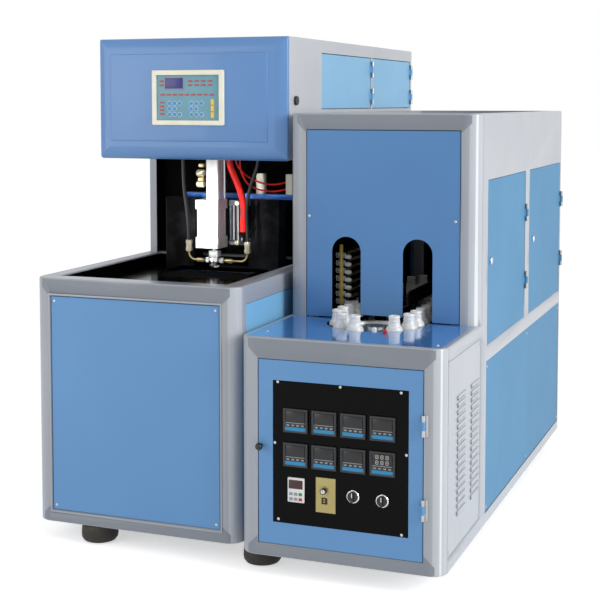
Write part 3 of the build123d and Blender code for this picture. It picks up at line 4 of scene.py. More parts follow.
import bpy
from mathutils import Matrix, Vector


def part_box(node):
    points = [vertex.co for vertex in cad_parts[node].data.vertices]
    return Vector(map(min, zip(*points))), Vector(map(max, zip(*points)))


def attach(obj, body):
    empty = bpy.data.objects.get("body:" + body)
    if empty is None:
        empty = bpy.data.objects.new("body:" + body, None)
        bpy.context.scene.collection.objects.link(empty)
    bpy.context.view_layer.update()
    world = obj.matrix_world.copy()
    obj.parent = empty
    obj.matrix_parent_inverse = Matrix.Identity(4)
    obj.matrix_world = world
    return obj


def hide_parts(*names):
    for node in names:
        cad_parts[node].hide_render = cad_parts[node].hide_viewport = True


bl_info = {
    "name": "Blow Moulding Machine",
    "version": (1, 0, 0),
    "blender": (4, 5, 0),
    "location": "3D View > Sidebar > Machine",
    "description": "Gives a packed blow moulding machine its finishes, fittings and studio",
    "category": "Object",
}

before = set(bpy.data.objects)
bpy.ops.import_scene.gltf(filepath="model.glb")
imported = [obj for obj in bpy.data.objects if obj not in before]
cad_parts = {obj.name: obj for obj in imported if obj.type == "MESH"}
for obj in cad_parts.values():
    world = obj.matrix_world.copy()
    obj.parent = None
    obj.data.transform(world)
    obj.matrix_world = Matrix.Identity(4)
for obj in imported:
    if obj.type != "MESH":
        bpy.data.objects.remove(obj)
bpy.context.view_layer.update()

HEATER, HEATER_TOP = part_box("heater_frame")
BLOWER, BLOWER_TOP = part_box("blower_frame")
HEAD, HEAD_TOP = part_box("head_cover")
KEYPAD, KEYPAD_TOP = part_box("control_keypad")
LAMPS, LAMPS_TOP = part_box("quartz_lamps")
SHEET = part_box("control_sheet")[0]
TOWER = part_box("tower_front_panel")[0]
TABLE_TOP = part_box("heater_table")[1]

FRONT = Vector((0, -1, 0))
RIGHT = Vector((1, 0, 0))
UP = Vector((0, 0, 1))
SMOOTH_ANGLE = math.radians(35)
MERGE_DISTANCE = 0.00002
# least share of a face's normal along an axis for it to face that way
FACING_SHARE = 0.9
# depth of a frame's front rails, which are darker as painted shade, and the turns at which a rounded edge
# grows pale and paler as painted highlight
FRONT_DEPTH = 0.02
HIGHLIGHT_TURN = 0.3
HIGHLIGHT_MIDDLE_TURN = 0.6
FINISH = {}


def srgb(red, green, blue):
    """Linear colour of a display colour given in steps of 255."""
    channels = [c / 255 for c in (red, green, blue)]
    return tuple(c / 12.92 if c <= 0.04045 else ((c + 0.055) / 1.055) ** 2.4 for c in channels)


def colour(label, red, green, blue):
    """Colour property with its default."""
    return bpy.props.FloatVectorProperty(
        name=label, description=f"Colour of the {label.lower()}", subtype="COLOR", size=3, min=0, max=1,
        default=srgb(red, green, blue),
    )


def number(label, description, default, **more):
    """Number property with its default."""
    return bpy.props.FloatProperty(name=label, description=description, default=default, **more)


def length(label, description, metres):
    """Length property with its default in metres."""
    return number(label, description, metres, unit="LENGTH", min=0)


def angle(label, description, degrees):
    """Angle property with its default in degrees."""
    return number(label, description, math.radians(degrees), subtype="ANGLE")


def power(label, description, watts):
    """Power property of a lamp."""
    return number(label, description, watts, unit="POWER", min=0)


class MachineColours(bpy.types.PropertyGroup):
    """Colours of the machine's finishes."""

    frame_grey: colour("Frames", 167, 172, 180)
    panel_blue: colour("Front panels", 106, 156, 207)
    # painted shade: a darker copy of the front panels' blue
    tower_shade_blue: colour("Tower front", 92, 141, 194)
    # painted shade: a darker copy of the front panels' blue
    door_shade_blue: colour("Side panels and doors", 90, 142, 180)
    # painted light: a lighter copy of the front panels' blue
    head_door_lit_blue: colour("Head side doors", 134, 190, 228)
    table_blue: colour("Heater table", 84, 146, 218)
    cover_blue: colour("Head cover", 100, 146, 203)
    cream: colour("Keypad bezel and air blocks", 250, 246, 226)
    membrane: colour("Keypad membrane", 118, 168, 184)
    key_blue: colour("Keypad keys", 62, 150, 214)
    holder_white: colour("Preform holders", 236, 237, 236)
    gold: colour("Speed controller plate", 158, 146, 98)
    hose_red: colour("Red hoses", 236, 30, 26)
    quartz: colour("Lamp tubes", 240, 226, 170)
    sleeve_yellow: colour("Wire sleeves", 222, 190, 74)
    foot: colour("Rubber feet", 44, 41, 38)
    dust: colour("Dust on the feet", 112, 96, 76)


class MachineSizes(bpy.types.PropertyGroup):
    """Sizes of the fittings that the frame leaves to this file."""

    screw_radius: length("Screw radius", "Radius of a panel screw's head", 0.0042)
    screw_height: length("Screw height", "Height of a panel screw's head", 0.0022)
    bolt_radius: length("Bolt radius", "Radius of a cap screw's head", 0.005)
    cover_border: length("Cover border", "Width of the sloping border of the head's cover", 0.042)
    cover_rounding: length("Cover rounding", "Rounding of the edges of the head's cover", 0.012)
    bead_width: length("Bead width", "Width of the bead round the base's front panel", 0.006)
    spring_radius: length("Spring radius", "Radius of a lamp's end spring", 0.0092)
    spring_wire: length("Spring wire", "Radius of the lamp spring's wire", 0.0011)
    spring_length: length("Spring length", "Length of a lamp's end spring", 0.034)
    louvre_lip: length("Louvre lip", "How far a louvre's hood stands out", 0.004)


class MachineStudio(bpy.types.PropertyGroup):
    """Camera and light."""

    camera_place: bpy.props.FloatVectorProperty(
        name="Camera place", description="Where the camera stands", subtype="XYZ", unit="LENGTH", size=3,
        default=(1.5679, -4.3703, 1.3824),
    )
    camera_turn: angle("Camera turn", "Turn of the camera to the left", 21.019)
    camera_pitch: angle("Camera pitch", "How far the camera looks down", 3.944)
    camera_shift: number("Camera shift", "Vertical shift of the lens", -0.18)
    camera_lens: number("Focal length", "Focal length for a 36 mm sensor", 78.33, unit="CAMERA")
    key_power: power("Key power", "Power of the large lamp at the right", 265)
    fill_power: power("Fill power", "Power of the lamp at the left", 52)
    bay_power: power("Bay power", "Power of the narrow lamp before the blowing bay", 0.45)
    room_light: number("Room light", "Strength of the even light of the room", 0.45, min=0)
    floor_glow: number("Floor glow", "Light that the floor adds for the camera", 0.55, min=0)


# Finishes


def add_node(tree, kind, **values):
    """New shader node with some of its sockets set."""
    made = tree.nodes.new(kind)
    for label, value in values.items():
        made.inputs[label].default_value = value
    return made


def plain(name, tint, roughness, **values):
    """Material with a principled shader, and its tree, shader and place on the piece."""
    material = bpy.data.materials.new(name)
    material.use_nodes = True
    tree = material.node_tree
    shader = tree.nodes["Principled BSDF"]
    shader.inputs["Base Color"].default_value = (*tint, 1)
    shader.inputs["Roughness"].default_value = roughness
    for label, value in values.items():
        shader.inputs[label.replace("_", " ")].default_value = value
    place = tree.nodes.new("ShaderNodeTexCoord").outputs["Object"]
    FINISH[name] = material
    return tree, shader, place


def noise(tree, place, scale, detail=2.0, stretch=None):
    """Noise texture at a scale per metre, stretched along one axis if asked."""
    if stretch:
        mapping = add_node(tree, "ShaderNodeMapping", Scale=stretch)
        tree.links.new(place, mapping.inputs["Vector"])
        place = mapping.outputs["Vector"]
    texture = add_node(tree, "ShaderNodeTexNoise", Scale=scale, Detail=detail)
    tree.links.new(place, texture.inputs["Vector"])
    return texture.outputs["Fac"]


def ramp(tree, value, low, high, start=0.35, end=0.65):
    """Colour ramp between two tints."""
    made = tree.nodes.new("ShaderNodeValToRGB")
    made.color_ramp.elements[0].position = start
    made.color_ramp.elements[1].position = end
    made.color_ramp.elements[0].color = (*low, 1)
    made.color_ramp.elements[1].color = (*high, 1)
    tree.links.new(value, made.inputs["Fac"])
    return made.outputs["Color"]


def shaded(tint, share):
    """Tint made lighter or darker by a share."""
    return tuple(min(1.0, c * (1 + share)) for c in tint)


def grain(tree, shader, place, scale, strength, depth, stretch=None):
    """Surface relief from noise."""
    bump = add_node(tree, "ShaderNodeBump", Strength=strength, Distance=depth)
    tree.links.new(noise(tree, place, scale, 3.0, stretch), bump.inputs["Height"])
    tree.links.new(bump.outputs["Normal"], shader.inputs["Normal"])


def cloudy(tree, shader, place, tint, spread, scale):
    """Soft uneven colour over a surface."""
    mixed = ramp(tree, noise(tree, place, scale), shaded(tint, -spread), shaded(tint, spread))
    tree.links.new(mixed, shader.inputs["Base Color"])


def uneven_gloss(tree, shader, place, low, high, scale):
    """Roughness that drifts over a surface."""
    spread = add_node(tree, "ShaderNodeMapRange")
    spread.inputs["To Min"].default_value = low
    spread.inputs["To Max"].default_value = high
    tree.links.new(noise(tree, place, scale), spread.inputs["Value"])
    tree.links.new(spread.outputs["Result"], shader.inputs["Roughness"])


def enamel(name, tint, roughness, coat, sheen=0.4):
    """Sprayed paint with a faint orange peel."""
    gloss = {"Coat_Weight": coat, "Coat_Roughness": 0.08, "Specular_IOR_Level": sheen}
    tree, shader, place = plain(name, tint, roughness, **gloss)
    cloudy(tree, shader, place, tint, 0.03, 2.5)
    grain(tree, shader, place, 420, 0.05, 0.0004)
    uneven_gloss(tree, shader, place, roughness - 0.05, roughness + 0.06, 9)


def worked_metal(name, tint, roughness, stretch, scale=240):
    """Metal with the fine lines of its working."""
    tree, shader, place = plain(name, tint, roughness, Metallic=1.0)
    cloudy(tree, shader, place, tint, 0.05, 12)
    grain(tree, shader, place, scale, 0.12, 0.0003, stretch)
    uneven_gloss(tree, shader, place, roughness - 0.06, roughness + 0.08, 30)


def moulded(name, tint, roughness, scale=700, strength=0.08):
    """Moulded plastic or rubber with a fine skin."""
    tree, shader, place = plain(name, tint, roughness)
    cloudy(tree, shader, place, tint, 0.04, 18)
    grain(tree, shader, place, scale, strength, 0.0003)


def dusty_rubber(name, tint, dust):
    """Dark rubber with dust that settles on its upper side."""
    tree, shader, place = plain(name, tint, 0.72)
    up = tree.nodes.new("ShaderNodeSeparateXYZ")
    tree.links.new(tree.nodes.new("ShaderNodeNewGeometry").outputs["Normal"], up.inputs["Vector"])
    cover = add_node(tree, "ShaderNodeMath")
    cover.operation = "MULTIPLY"
    tree.links.new(up.outputs["Z"], cover.inputs[0])
    tree.links.new(noise(tree, place, 55, 5.0), cover.inputs[1])
    tree.links.new(ramp(tree, cover.outputs["Value"], tint, dust, 0.05, 0.55), shader.inputs["Base Color"])
    grain(tree, shader, place, 350, 0.25, 0.0006)


def dusty_metal(name, tint, dust):
    """Dark cast metal with patches of pale dust."""
    tree, shader, place = plain(name, tint, 0.8, Specular_IOR_Level=0.1)
    tree.links.new(ramp(tree, noise(tree, place, 9, 6.0), tint, dust, 0.42, 0.7), shader.inputs["Base Color"])
    grain(tree, shader, place, 120, 0.35, 0.0008)


def lit(name, tint, strength):
    """Small lamp or lit segment."""
    tree, shader, place = plain(name, tint, 0.3)
    cloudy(tree, shader, place, tint, 0.05, 60)
    shader.inputs["Emission Color"].default_value = (*tint, 1)
    shader.inputs["Emission Strength"].default_value = strength


def clear(name, tint, roughness):
    """Quartz tube that lets the light through."""
    tree, shader, place = plain(name, tint, roughness, Transmission_Weight=0.7, IOR=1.46)
    cloudy(tree, shader, place, tint, 0.04, 30)
    grain(tree, shader, place, 160, 0.04, 0.0003)


# Modelling


def deselect():
    """Leaves edit mode with nothing selected."""
    if bpy.context.mode != "OBJECT":
        bpy.ops.object.mode_set(mode="OBJECT")
    bpy.ops.object.select_all(action="DESELECT")


def single_out(obj):
    """Makes an object the only selected one and the active one."""
    deselect()
    obj.select_set(True)
    bpy.context.view_layer.objects.active = obj


@contextmanager
def editing(obj):
    """Edit mode on one object, left again at the end."""
    single_out(obj)
    bpy.ops.object.mode_set(mode="EDIT")
    yield
    bpy.ops.object.mode_set(mode="OBJECT")


def settle(obj):
    """Puts an object's place, turn and size into its mesh."""
    single_out(obj)
    bpy.ops.object.transform_apply(location=True, rotation=True, scale=True)
    return obj


def smooth(obj):
    """Smooth shading with sharp edges where faces meet at an angle."""
    single_out(obj)
    bpy.ops.object.shade_smooth_by_angle(angle=SMOOTH_ANGLE)
    return obj


def modified(obj, kind, **settings):
    """Adds a modifier with its settings to the active object and applies it."""
    modifier = obj.modifiers.new(kind.lower(), kind)
    for label, value in settings.items():
        setattr(modifier, label, value)
    bpy.ops.object.modifier_apply(modifier=modifier.name)
    return obj


def even_normals(obj):
    """Lets the large faces lead the shading, so that flat panels stay flat beside rounded folds."""
    return modified(smooth(obj), "WEIGHTED_NORMAL", keep_sharp=True)


def select_parts(obj, kind, test):
    """Selects the faces or edges of an object that pass a test and nothing else."""
    with editing(obj):
        bpy.ops.mesh.select_mode(type=kind)
        bpy.ops.mesh.select_all(action="DESELECT")
    for part in obj.data.polygons if kind == "FACE" else obj.data.edges:
        part.select = test(part)


def painted(obj, finish):
    """Gives a whole object one finish."""
    obj.data.materials.clear()
    obj.data.materials.append(FINISH[finish])
    return obj


def turned(profile, sides=24):
    """Solid turned about Z, drawn from its lowest ring of radius and height."""
    deselect()
    radius, height = profile[0]
    place = (0, 0, height)
    bpy.ops.mesh.primitive_circle_add(vertices=sides, radius=radius, fill_type="NGON", location=place)
    obj = settle(bpy.context.object)
    with editing(obj):
        bpy.ops.mesh.select_all(action="SELECT")
        for next_radius, next_height in profile[1:]:
            rise = {"value": (0, 0, next_height - height)}
            bpy.ops.mesh.extrude_region_move(TRANSFORM_OT_translate=rise)
            ratio = next_radius / radius
            bpy.ops.transform.resize(value=(ratio, ratio, 1), center_override=(0, 0, next_height))
            radius, height = next_radius, next_height
        bpy.ops.mesh.select_all(action="SELECT")
        bpy.ops.mesh.normals_make_consistent(inside=False)
    return smooth(obj)


def block(low, high, radius=0.0, segments=2):
    """Box between two corners with rounded edges."""
    deselect()
    low, high = Vector(low), Vector(high)
    bpy.ops.mesh.primitive_cube_add(size=1, location=(low + high) / 2, scale=high - low)
    obj = settle(bpy.context.object)
    if radius:
        smooth(modified(obj, "BEVEL", width=radius, segments=segments))
    return obj


def facing(obj, direction):
    """Turns an object that was made along Z to face a direction."""
    obj.rotation_euler = direction.to_track_quat("Z", "Y").to_euler()
    return settle(obj)


def joined(objs):
    """Several objects made one."""
    deselect()
    for obj in objs:
        obj.select_set(True)
    bpy.context.view_layer.objects.active = objs[0]
    if len(objs) > 1:
        bpy.ops.object.join()
    return settle(bpy.context.view_layer.objects.active)


def copies(master, places):
    """Copies of an object at each place, joined, with the first one taken away."""
    twins = []
    for place in places:
        twin = master.copy()
        twin.data = master.data.copy()
        bpy.context.collection.objects.link(twin)
        twin.location = place
        twins.append(twin)
    bpy.data.objects.remove(master)
    return joined(twins)


def piece(obj, name, body):
    """Names a finished piece and lets it ride on a body of the frame."""
    settle(obj)
    obj.name = name
    obj.data.name = name
    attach(obj, body)
    return obj


def mitres(low, high):
    """Planes that part the rails of a front from its posts at the corners."""
    corners = ((low.x, low.z, 1), (high.x, high.z, 1), (low.x, high.z, -1), (high.x, low.z, -1))
    return [(Vector((x, low.y, z)), Vector((1, 0, -lean))) for x, z, lean in corners]


def on_rail(at, low, high):
    """Whether a place on a front lies on its top or bottom rail."""
    return min(at.z - low.z, high.z - at.z) < min(at.x - low.x, high.x - at.x)


def front_finish(at, out, fronts, middle):
    """Finish of a frame's face: darker rails on its fronts as painted shade and a paler rounding of the
    upright edges as painted highlight.
    """
    for low, high in fronts:
        # painted shade: the top and bottom rails of each front get a darker copy of the frame grey
        if out.y < -FACING_SHARE and abs(at.y - low.y) < FRONT_DEPTH and on_rail(at, low, high):
            return "rail_enamel"
    # painted highlight: faces turned between the front and the right side get paler copies of the frame grey,
    # the palest at the middle of the rounding
    turn = min(-out.y, out.x)
    if turn > HIGHLIGHT_MIDDLE_TURN:
        return middle
    return "edge_enamel" if turn > HIGHLIGHT_TURN else "frame_enamel"


def refinished(node, name, body, finishes, choose=None, cuts=()):
    """Merged copy of a part of the frame that takes its place, each face finished by place and direction."""
    obj = bpy.data.objects.new(name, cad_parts[node].data.copy())
    bpy.context.collection.objects.link(obj)
    with editing(obj):
        bpy.ops.mesh.select_all(action="SELECT")
        bpy.ops.mesh.remove_doubles(threshold=MERGE_DISTANCE)
        for place, across in cuts:
            bpy.ops.mesh.select_all(action="SELECT")
            bpy.ops.mesh.bisect(plane_co=place, plane_no=across)
    obj.data.materials.clear()
    for finish in finishes:
        obj.data.materials.append(FINISH[finish])
    for face in obj.data.polygons:
        face.material_index = finishes.index(choose(face.center, face.normal)) if choose else 0
    even_normals(obj)
    piece(obj, name, body)
    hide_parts(node)


def screw_head(radius, height):
    """Pan head with a socket, made along Z."""
    socket = 0.45 * radius
    rim = [(radius, 0), (radius, 0.55 * height), (0.72 * radius, height)]
    return turned(rim + [(socket, height), (0.9 * socket, 0.35 * height)], 12)


def nut(radius, height):
    """Hexagon nut with chamfered corners, made along Z."""
    chamfer = 0.93 * radius
    return turned([(chamfer, 0), (radius, 0.12 * height), (radius, 0.88 * height), (chamfer, height)], 6)


def on_heater(x, y, z):
    """Place measured from the heater's front left bottom corner."""
    return HEATER + Vector((x, y, z))


def on_blower(x, y, z):
    """Place measured from the blowing unit's front left bottom corner."""
    return BLOWER + Vector((x, y, z))


# Operators


class MACHINE_OT_mix_finishes(bpy.types.Operator):
    """Make every finish of the machine"""

    bl_idname = "machine.mix_finishes"
    bl_label = "Mix Finishes"

    def execute(self, context):
        tints = context.scene.machine_colours
        enamel("frame_enamel", tints.frame_grey, 0.36, 0.3)
        enamel("panel_enamel", tints.panel_blue, 0.45, 0.05, 0.3)
        # painted shade: a darker copy of the front panels' blue for the tower's front
        enamel("tower_enamel", tints.tower_shade_blue, 0.45, 0.05, 0.3)
        # painted shade: a darker copy of the front panels' blue for the side and rear panels and the tower
        # doors
        enamel("door_enamel", tints.door_shade_blue, 0.55, 0.0, 0.15)
        # painted light: a lighter copy of the front panels' blue for the head's side doors
        enamel("head_door_lit_enamel", tints.head_door_lit_blue, 0.45, 0.05)
        enamel("table_enamel", tints.table_blue, 0.12, 0.8)
        enamel("cover_enamel", tints.cover_blue, 0.34, 0.3)
        # painted shade: a darker copy of the frame grey for the front rails
        enamel("rail_enamel", srgb(138, 144, 153), 0.4, 0.2, 0.3)
        # painted highlights: paler copies of the frame grey for the rounded upright edges of the frames
        enamel("edge_enamel", srgb(188, 193, 200), 0.34, 0.3)
        enamel("bright_enamel", srgb(228, 231, 236), 0.3, 0.4)
        # painted light: a lighter copy of the frame grey for the head's side
        enamel("head_lit_grey", srgb(192, 196, 202), 0.4, 0.1, 0.3)
        # painted light: a lighter copy of the side blue on the blower's side panels, lightening the tower's
        # shadow on them
        enamel("side_lit_enamel", srgb(130, 188, 226), 0.5, 0.0, 0.2)
        # black paint for the bulkhead, also used as painted shade on the oven rack and the inner faces of the
        # tower
        enamel("black_enamel", srgb(6, 6, 7), 0.7, 0.0, 0.03)
        enamel("gloss_black", srgb(4, 4, 5), 0.14, 0.06, 0.05)
        enamel("beam_blue", srgb(56, 112, 200), 0.4, 0.2)
        enamel("white_enamel", srgb(244, 244, 242), 0.4, 0.2)
        enamel("dark_enamel", srgb(66, 70, 76), 0.45, 0.1)
        moulded("cream_plastic", tints.cream, 0.35)
        moulded("membrane", tints.membrane, 0.5, 900, 0.12)
        moulded("key_plastic", tints.key_blue, 0.38)
        moulded("black_plastic", srgb(20, 20, 22), 0.42)
        moulded("instrument_plastic", srgb(34, 36, 39), 0.5)
        moulded("grey_plastic", srgb(150, 154, 158), 0.5)
        moulded("cyan_print", srgb(44, 140, 190), 0.5)
        moulded("white_plastic", tints.holder_white, 0.28, 500, 0.04)
        moulded("button_green", srgb(40, 142, 74), 0.4)
        moulded("button_red", srgb(192, 40, 36), 0.4)
        moulded("display_glass", srgb(12, 12, 15), 0.3, 900, 0.01)
        moulded("red_display", srgb(64, 22, 24), 0.3, 900, 0.01)
        moulded("head_display", srgb(52, 50, 128), 0.3, 900, 0.01)
        moulded("black_hose", srgb(24, 24, 26), 0.38, 260, 0.15)
        moulded("red_hose", tints.hose_red, 0.34, 260, 0.1)
        moulded("sleeve", tints.sleeve_yellow, 0.5, 320, 0.2)
        moulded("ceramic", srgb(226, 222, 212), 0.55)
        worked_metal("gold_plate", tints.gold, 0.38, (1, 1, 30))
        worked_metal("brushed_steel", srgb(176, 178, 180), 0.32, (1, 26, 1))
        worked_metal("machined_aluminium", srgb(206, 208, 210), 0.3, (26, 1, 1))
        worked_metal("chrome", srgb(226, 228, 230), 0.08, (1, 1, 1), 60)
        worked_metal("brass", srgb(206, 188, 138), 0.3, (1, 1, 20))
        worked_metal("zinc", srgb(198, 200, 200), 0.36, (4, 4, 1))
        moulded("hose_fitting", srgb(214, 206, 182), 0.4, 160, 0.4)
        dusty_rubber("foot_rubber", tints.foot, tints.dust)
        dusty_metal("dusty_black", srgb(10, 10, 12), srgb(48, 49, 52))
        clear("quartz", tints.quartz, 0.12)
        lit("red_lamp", srgb(176, 62, 66), 0.1)
        lit("yellow_lamp", srgb(226, 186, 60), 0.2)
        lit("segment_grey", srgb(176, 174, 166), 0.1)
        return {"FINISHED"}


NODE_FINISH = {
    "frame_enamel": ["rear_cabinet", "louvre_panel", "tower_roof"],
    # painted light: the head's shell takes the lighter copy of the frame grey
    "head_lit_grey": ["head_shell"],
    # painted light: the blower's side panels take a lighter blue against the tower's shadow
    "side_lit_enamel": ["blower_side_panels"],
    "panel_enamel": ["control_door", "blower_front_panel"],
    # painted shade: side and rear panels take the darker copy of the panel blue
    "door_enamel": ["lower_side_panel", "blower_rear_panel"],
    # painted light: the head's side doors take the lighter copy of the panel blue
    "head_door_lit_enamel": ["head_door_front", "head_door_rear"],
    "table_enamel": ["heater_table"],
    # the oven rack's black is painted shade
    "black_enamel": ["bulkhead", "oven_rack"],
    "gloss_black": ["table_tray", "control_sheet"],
    "dark_enamel": ["clamp_platen_left", "clamp_platen_right", "clamp_cylinders", "drive_motor"],
    "cream_plastic": ["control_bezel", "air_manifold"],
    "black_plastic": [
        "head_knob", "speed_knob", "power_rocker", "selector_left", "selector_right", "door_knob",
    ],
    "machined_aluminium": ["mould_half_left", "mould_half_right", "chain_wheel_front", "chain_wheel_rear"],
    "chrome": ["stretch_rod", "tie_bars", "tower_latch_front", "tower_latch_rear"],
    "brushed_steel": ["preform_chain", "hinge_pins"],
    "gold_plate": ["speed_controller"],
    "black_hose": ["air_hoses"],
    "red_hose": ["red_hoses"],
}


class MACHINE_OT_finish_nodes(bpy.types.Operator):
    """Give each part of the frame that stays in view its finish"""

    bl_idname = "machine.finish_nodes"
    bl_label = "Finish Nodes"

    def execute(self, context):
        for finish, names in NODE_FINISH.items():
            for name in names:
                painted(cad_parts[name], finish)
        return {"FINISHED"}


class MACHINE_OT_blowing_gear(bpy.types.Operator):
    """Give the cylinders, the nozzle and the gantry their several finishes"""

    bl_idname = "machine.blowing_gear"
    bl_label = "Blowing Gear"

    collar_low = 0.0365
    collar_high = 0.058
    guide_length = 0.14
    beam_height = 0.0145
    fitting_height = 0.040
    port_reach = 0.0345

    def execute(self, context):
        block_low, block_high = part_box("seal_block")
        middle_x = (block_low.x + block_high.x) / 2
        guide_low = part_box("seal_cylinder")[1].z - self.guide_length
        beam_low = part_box("gantry")[1].z - self.beam_height
        fitting_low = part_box("air_pipes")[1].z - self.fitting_height

        def block_finish(at, out):
            on_collar = self.collar_low < at.z - block_low.z <= self.collar_high
            return "white_enamel" if on_collar else "chrome"

        def cylinder_finish(at, out):
            return "chrome" if at.z > guide_low else "white_enamel"

        def gantry_finish(at, out):
            return "beam_blue" if at.z > beam_low else "dusty_black"

        def pipe_finish(at, out):
            if at.z > fitting_low:
                return "hose_fitting"
            return "white_enamel" if abs(at.x - middle_x) < self.port_reach else "brass"

        nozzle = ["chrome", "white_enamel"]
        refinished("seal_block", "blow_nozzle", "seal_carriage", nozzle, block_finish)
        refinished("stretch_cylinder", "blow_column", "machine", ["white_enamel"])
        barrel = ["white_enamel", "chrome"]
        refinished("seal_cylinder", "blow_cylinder", "machine", barrel, cylinder_finish)
        beam = ["beam_blue", "dusty_black"]
        refinished("gantry", "blow_gantry", "machine", beam, gantry_finish)
        refinished("side_cylinder", "vent_cylinder", "machine", ["dark_enamel"])
        pipes = ["hose_fitting", "white_enamel", "brass"]
        refinished("air_pipes", "bent_pipes", "seal_carriage", pipes, pipe_finish)
        return {"FINISHED"}


class MACHINE_OT_dark_oven(bpy.types.Operator):
    """Finish both frames and paint the inner faces of the tower black as painted shade"""

    bl_idname = "machine.dark_oven"
    bl_label = "Dark Oven"

    wall = 0.02

    def execute(self, context):
        wall = self.wall
        desk = (HEATER, Vector((HEATER_TOP.x, HEATER.y, TABLE_TOP.z)))
        tower = (Vector((HEATER.x, TOWER.y, HEATER.z)), HEATER_TOP)
        base = (BLOWER, BLOWER_TOP)

        def heater_finish(at, out):
            # painted shade: faces inside the tower above the table are black
            inside_x = TOWER.x < at.x < HEATER_TOP.x - wall
            inside_y = TOWER.y + wall < at.y < HEATER_TOP.y - wall
            if inside_x and inside_y and TABLE_TOP.z < at.z < HEATER_TOP.z - wall:
                return "black_enamel"
            # painted highlight on the heater's rounded upright edges, brightest at their middle
            return front_finish(at, out, (desk, tower), "bright_enamel")

        def base_finish(at, out):
            return front_finish(at, out, (base,), "edge_enamel")

        greys = ["frame_enamel", "black_enamel", "rail_enamel", "edge_enamel", "bright_enamel"]
        cuts = mitres(*desk) + mitres(*tower)
        refinished("heater_frame", "heater_shell", "machine", greys, heater_finish, cuts)
        # painted shade: the panels' inner faces are black
        self.panel("heater_left_panel", "heater_left_skin", lambda at, out: out.x > 0.5 and at.y > TOWER.y)
        self.panel("heater_rear_panel", "heater_rear_skin", lambda at, out: out.y < -0.5)
        # painted shade: the tower's front takes the darker copy of the panel blue
        self.panel("tower_front_panel", "tower_face", lambda at, out: out.y > 0.5, "tower_enamel")
        greys = ["frame_enamel", "rail_enamel", "edge_enamel"]
        cuts = mitres(*base)
        refinished("blower_frame", "base_shell", "machine", greys, base_finish, cuts)
        # painted shade: the doors' inner faces are black
        for name in ("tower_door_front", "tower_door_rear"):
            self.panel(name, f"{name}_leaf", lambda at, out: out.x < -0.5, body=name, slot="painted_blue")
        return {"FINISHED"}

    def panel(self, node, name, inner, outside="door_enamel", body="machine", slot="painted_light_blue"):
        """Panel with its own colour outside and black as painted shade on the faces that a test calls inner.
        """
        paints = [outside, "black_enamel"]
        refinished(node, name, body, paints, lambda at, out: paints[1] if inner(at, out) else paints[0])


class MACHINE_OT_head_front(bpy.types.Operator):
    """Build the head's moulded cover with its rounded border and raised field"""

    bl_idname = "machine.head_front"
    bl_label = "Head Front"

    slope = 0.020
    wall = 0.004
    field_rise = 0.0025
    field_left = 0.068
    field_right = 0.064
    field_span = (0.058, 0.346)

    def execute(self, context):
        sizes = context.scene.machine_sizes
        front = HEAD.y + self.field_rise
        cover = block((HEAD.x, front + self.slope, HEAD.z), HEAD_TOP)
        select_parts(cover, "FACE", lambda face: face.normal.y < -FACING_SHARE)
        with editing(cover):
            bpy.ops.mesh.inset(thickness=sizes.cover_border, depth=self.slope)
        select_parts(cover, "FACE", lambda face: face.normal.y > FACING_SHARE)
        with editing(cover):
            bpy.ops.mesh.delete(type="FACE")
        modified(cover, "BEVEL", width=sizes.cover_rounding, segments=6)
        modified(cover, "SOLIDIFY", thickness=self.wall)
        even_normals(cover)
        low_z, high_z = (HEAD.z + rise for rise in self.field_span)
        low = Vector((BLOWER.x + self.field_left, HEAD.y, low_z))
        high = Vector((BLOWER_TOP.x - self.field_right, front + self.wall / 2, high_z))
        field = block(low, high, self.field_rise, 4)
        cover = painted(joined([cover, field]), "cover_enamel")
        piece(cover, "head_front", "machine")
        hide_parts("head_cover")
        return {"FINISHED"}


class MACHINE_OT_panel_screws(bpy.types.Operator):
    """Add the screws of the control sheet, the fronts, the table and the side panel"""

    bl_idname = "machine.panel_screws"
    bl_label = "Panel Screws"

    # places on each face, measured from the front left bottom corner of the unit
    sheet_spots = (
        (0.122, 0.517), (0.313, 0.516), (0.493, 0.514), (0.113, 0.338), (0.509, 0.339),
        (0.124, 0.114), (0.496, 0.110),
    )
    tower_spots = ((0.071, 0.964), (0.544, 0.960))
    base_spots = ((0.074, 0.704), (0.626, 0.704), (0.074, 0.056), (0.626, 0.056))
    table_spots = ((0.051, 0.099), (0.583, 0.056))
    side_spots = (
        (0.515, 0.500), (0.515, 0.056), (1.14, 0.500), (1.14, 0.056), (1.765, 0.500), (1.765, 0.056),
        (0.056, 0.590), (0.410, 0.590), (0.056, 0.058), (0.410, 0.058),
    )

    def execute(self, context):
        sizes = context.scene.machine_sizes
        sheet = [on_heater(x, SHEET.y - HEATER.y, z) for x, z in self.sheet_spots]
        piece(self.screws(sizes, FRONT, sheet), "sheet_screws", "control_door")
        base_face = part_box("blower_front_panel")[0].y - BLOWER.y
        side_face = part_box("lower_side_panel")[1].x - HEATER.x
        fronts = [on_heater(x, TOWER.y - HEATER.y, z) for x, z in self.tower_spots]
        fronts += [on_blower(x, base_face, z) for x, z in self.base_spots]
        table = [on_heater(x, y, TABLE_TOP.z - HEATER.z) for x, y in self.table_spots]
        side = [on_heater(side_face, y, z) for y, z in self.side_spots]
        rows = [self.screws(sizes, *row) for row in ((FRONT, fronts), (UP, table), (RIGHT, side))]
        piece(joined(rows), "panel_screws", "machine")
        return {"FINISHED"}

    def screws(self, sizes, direction, places):
        """Panel screws at each place with their heads facing a direction."""
        head = facing(screw_head(sizes.screw_radius, sizes.screw_height), direction)
        return copies(painted(head, "zinc"), places)


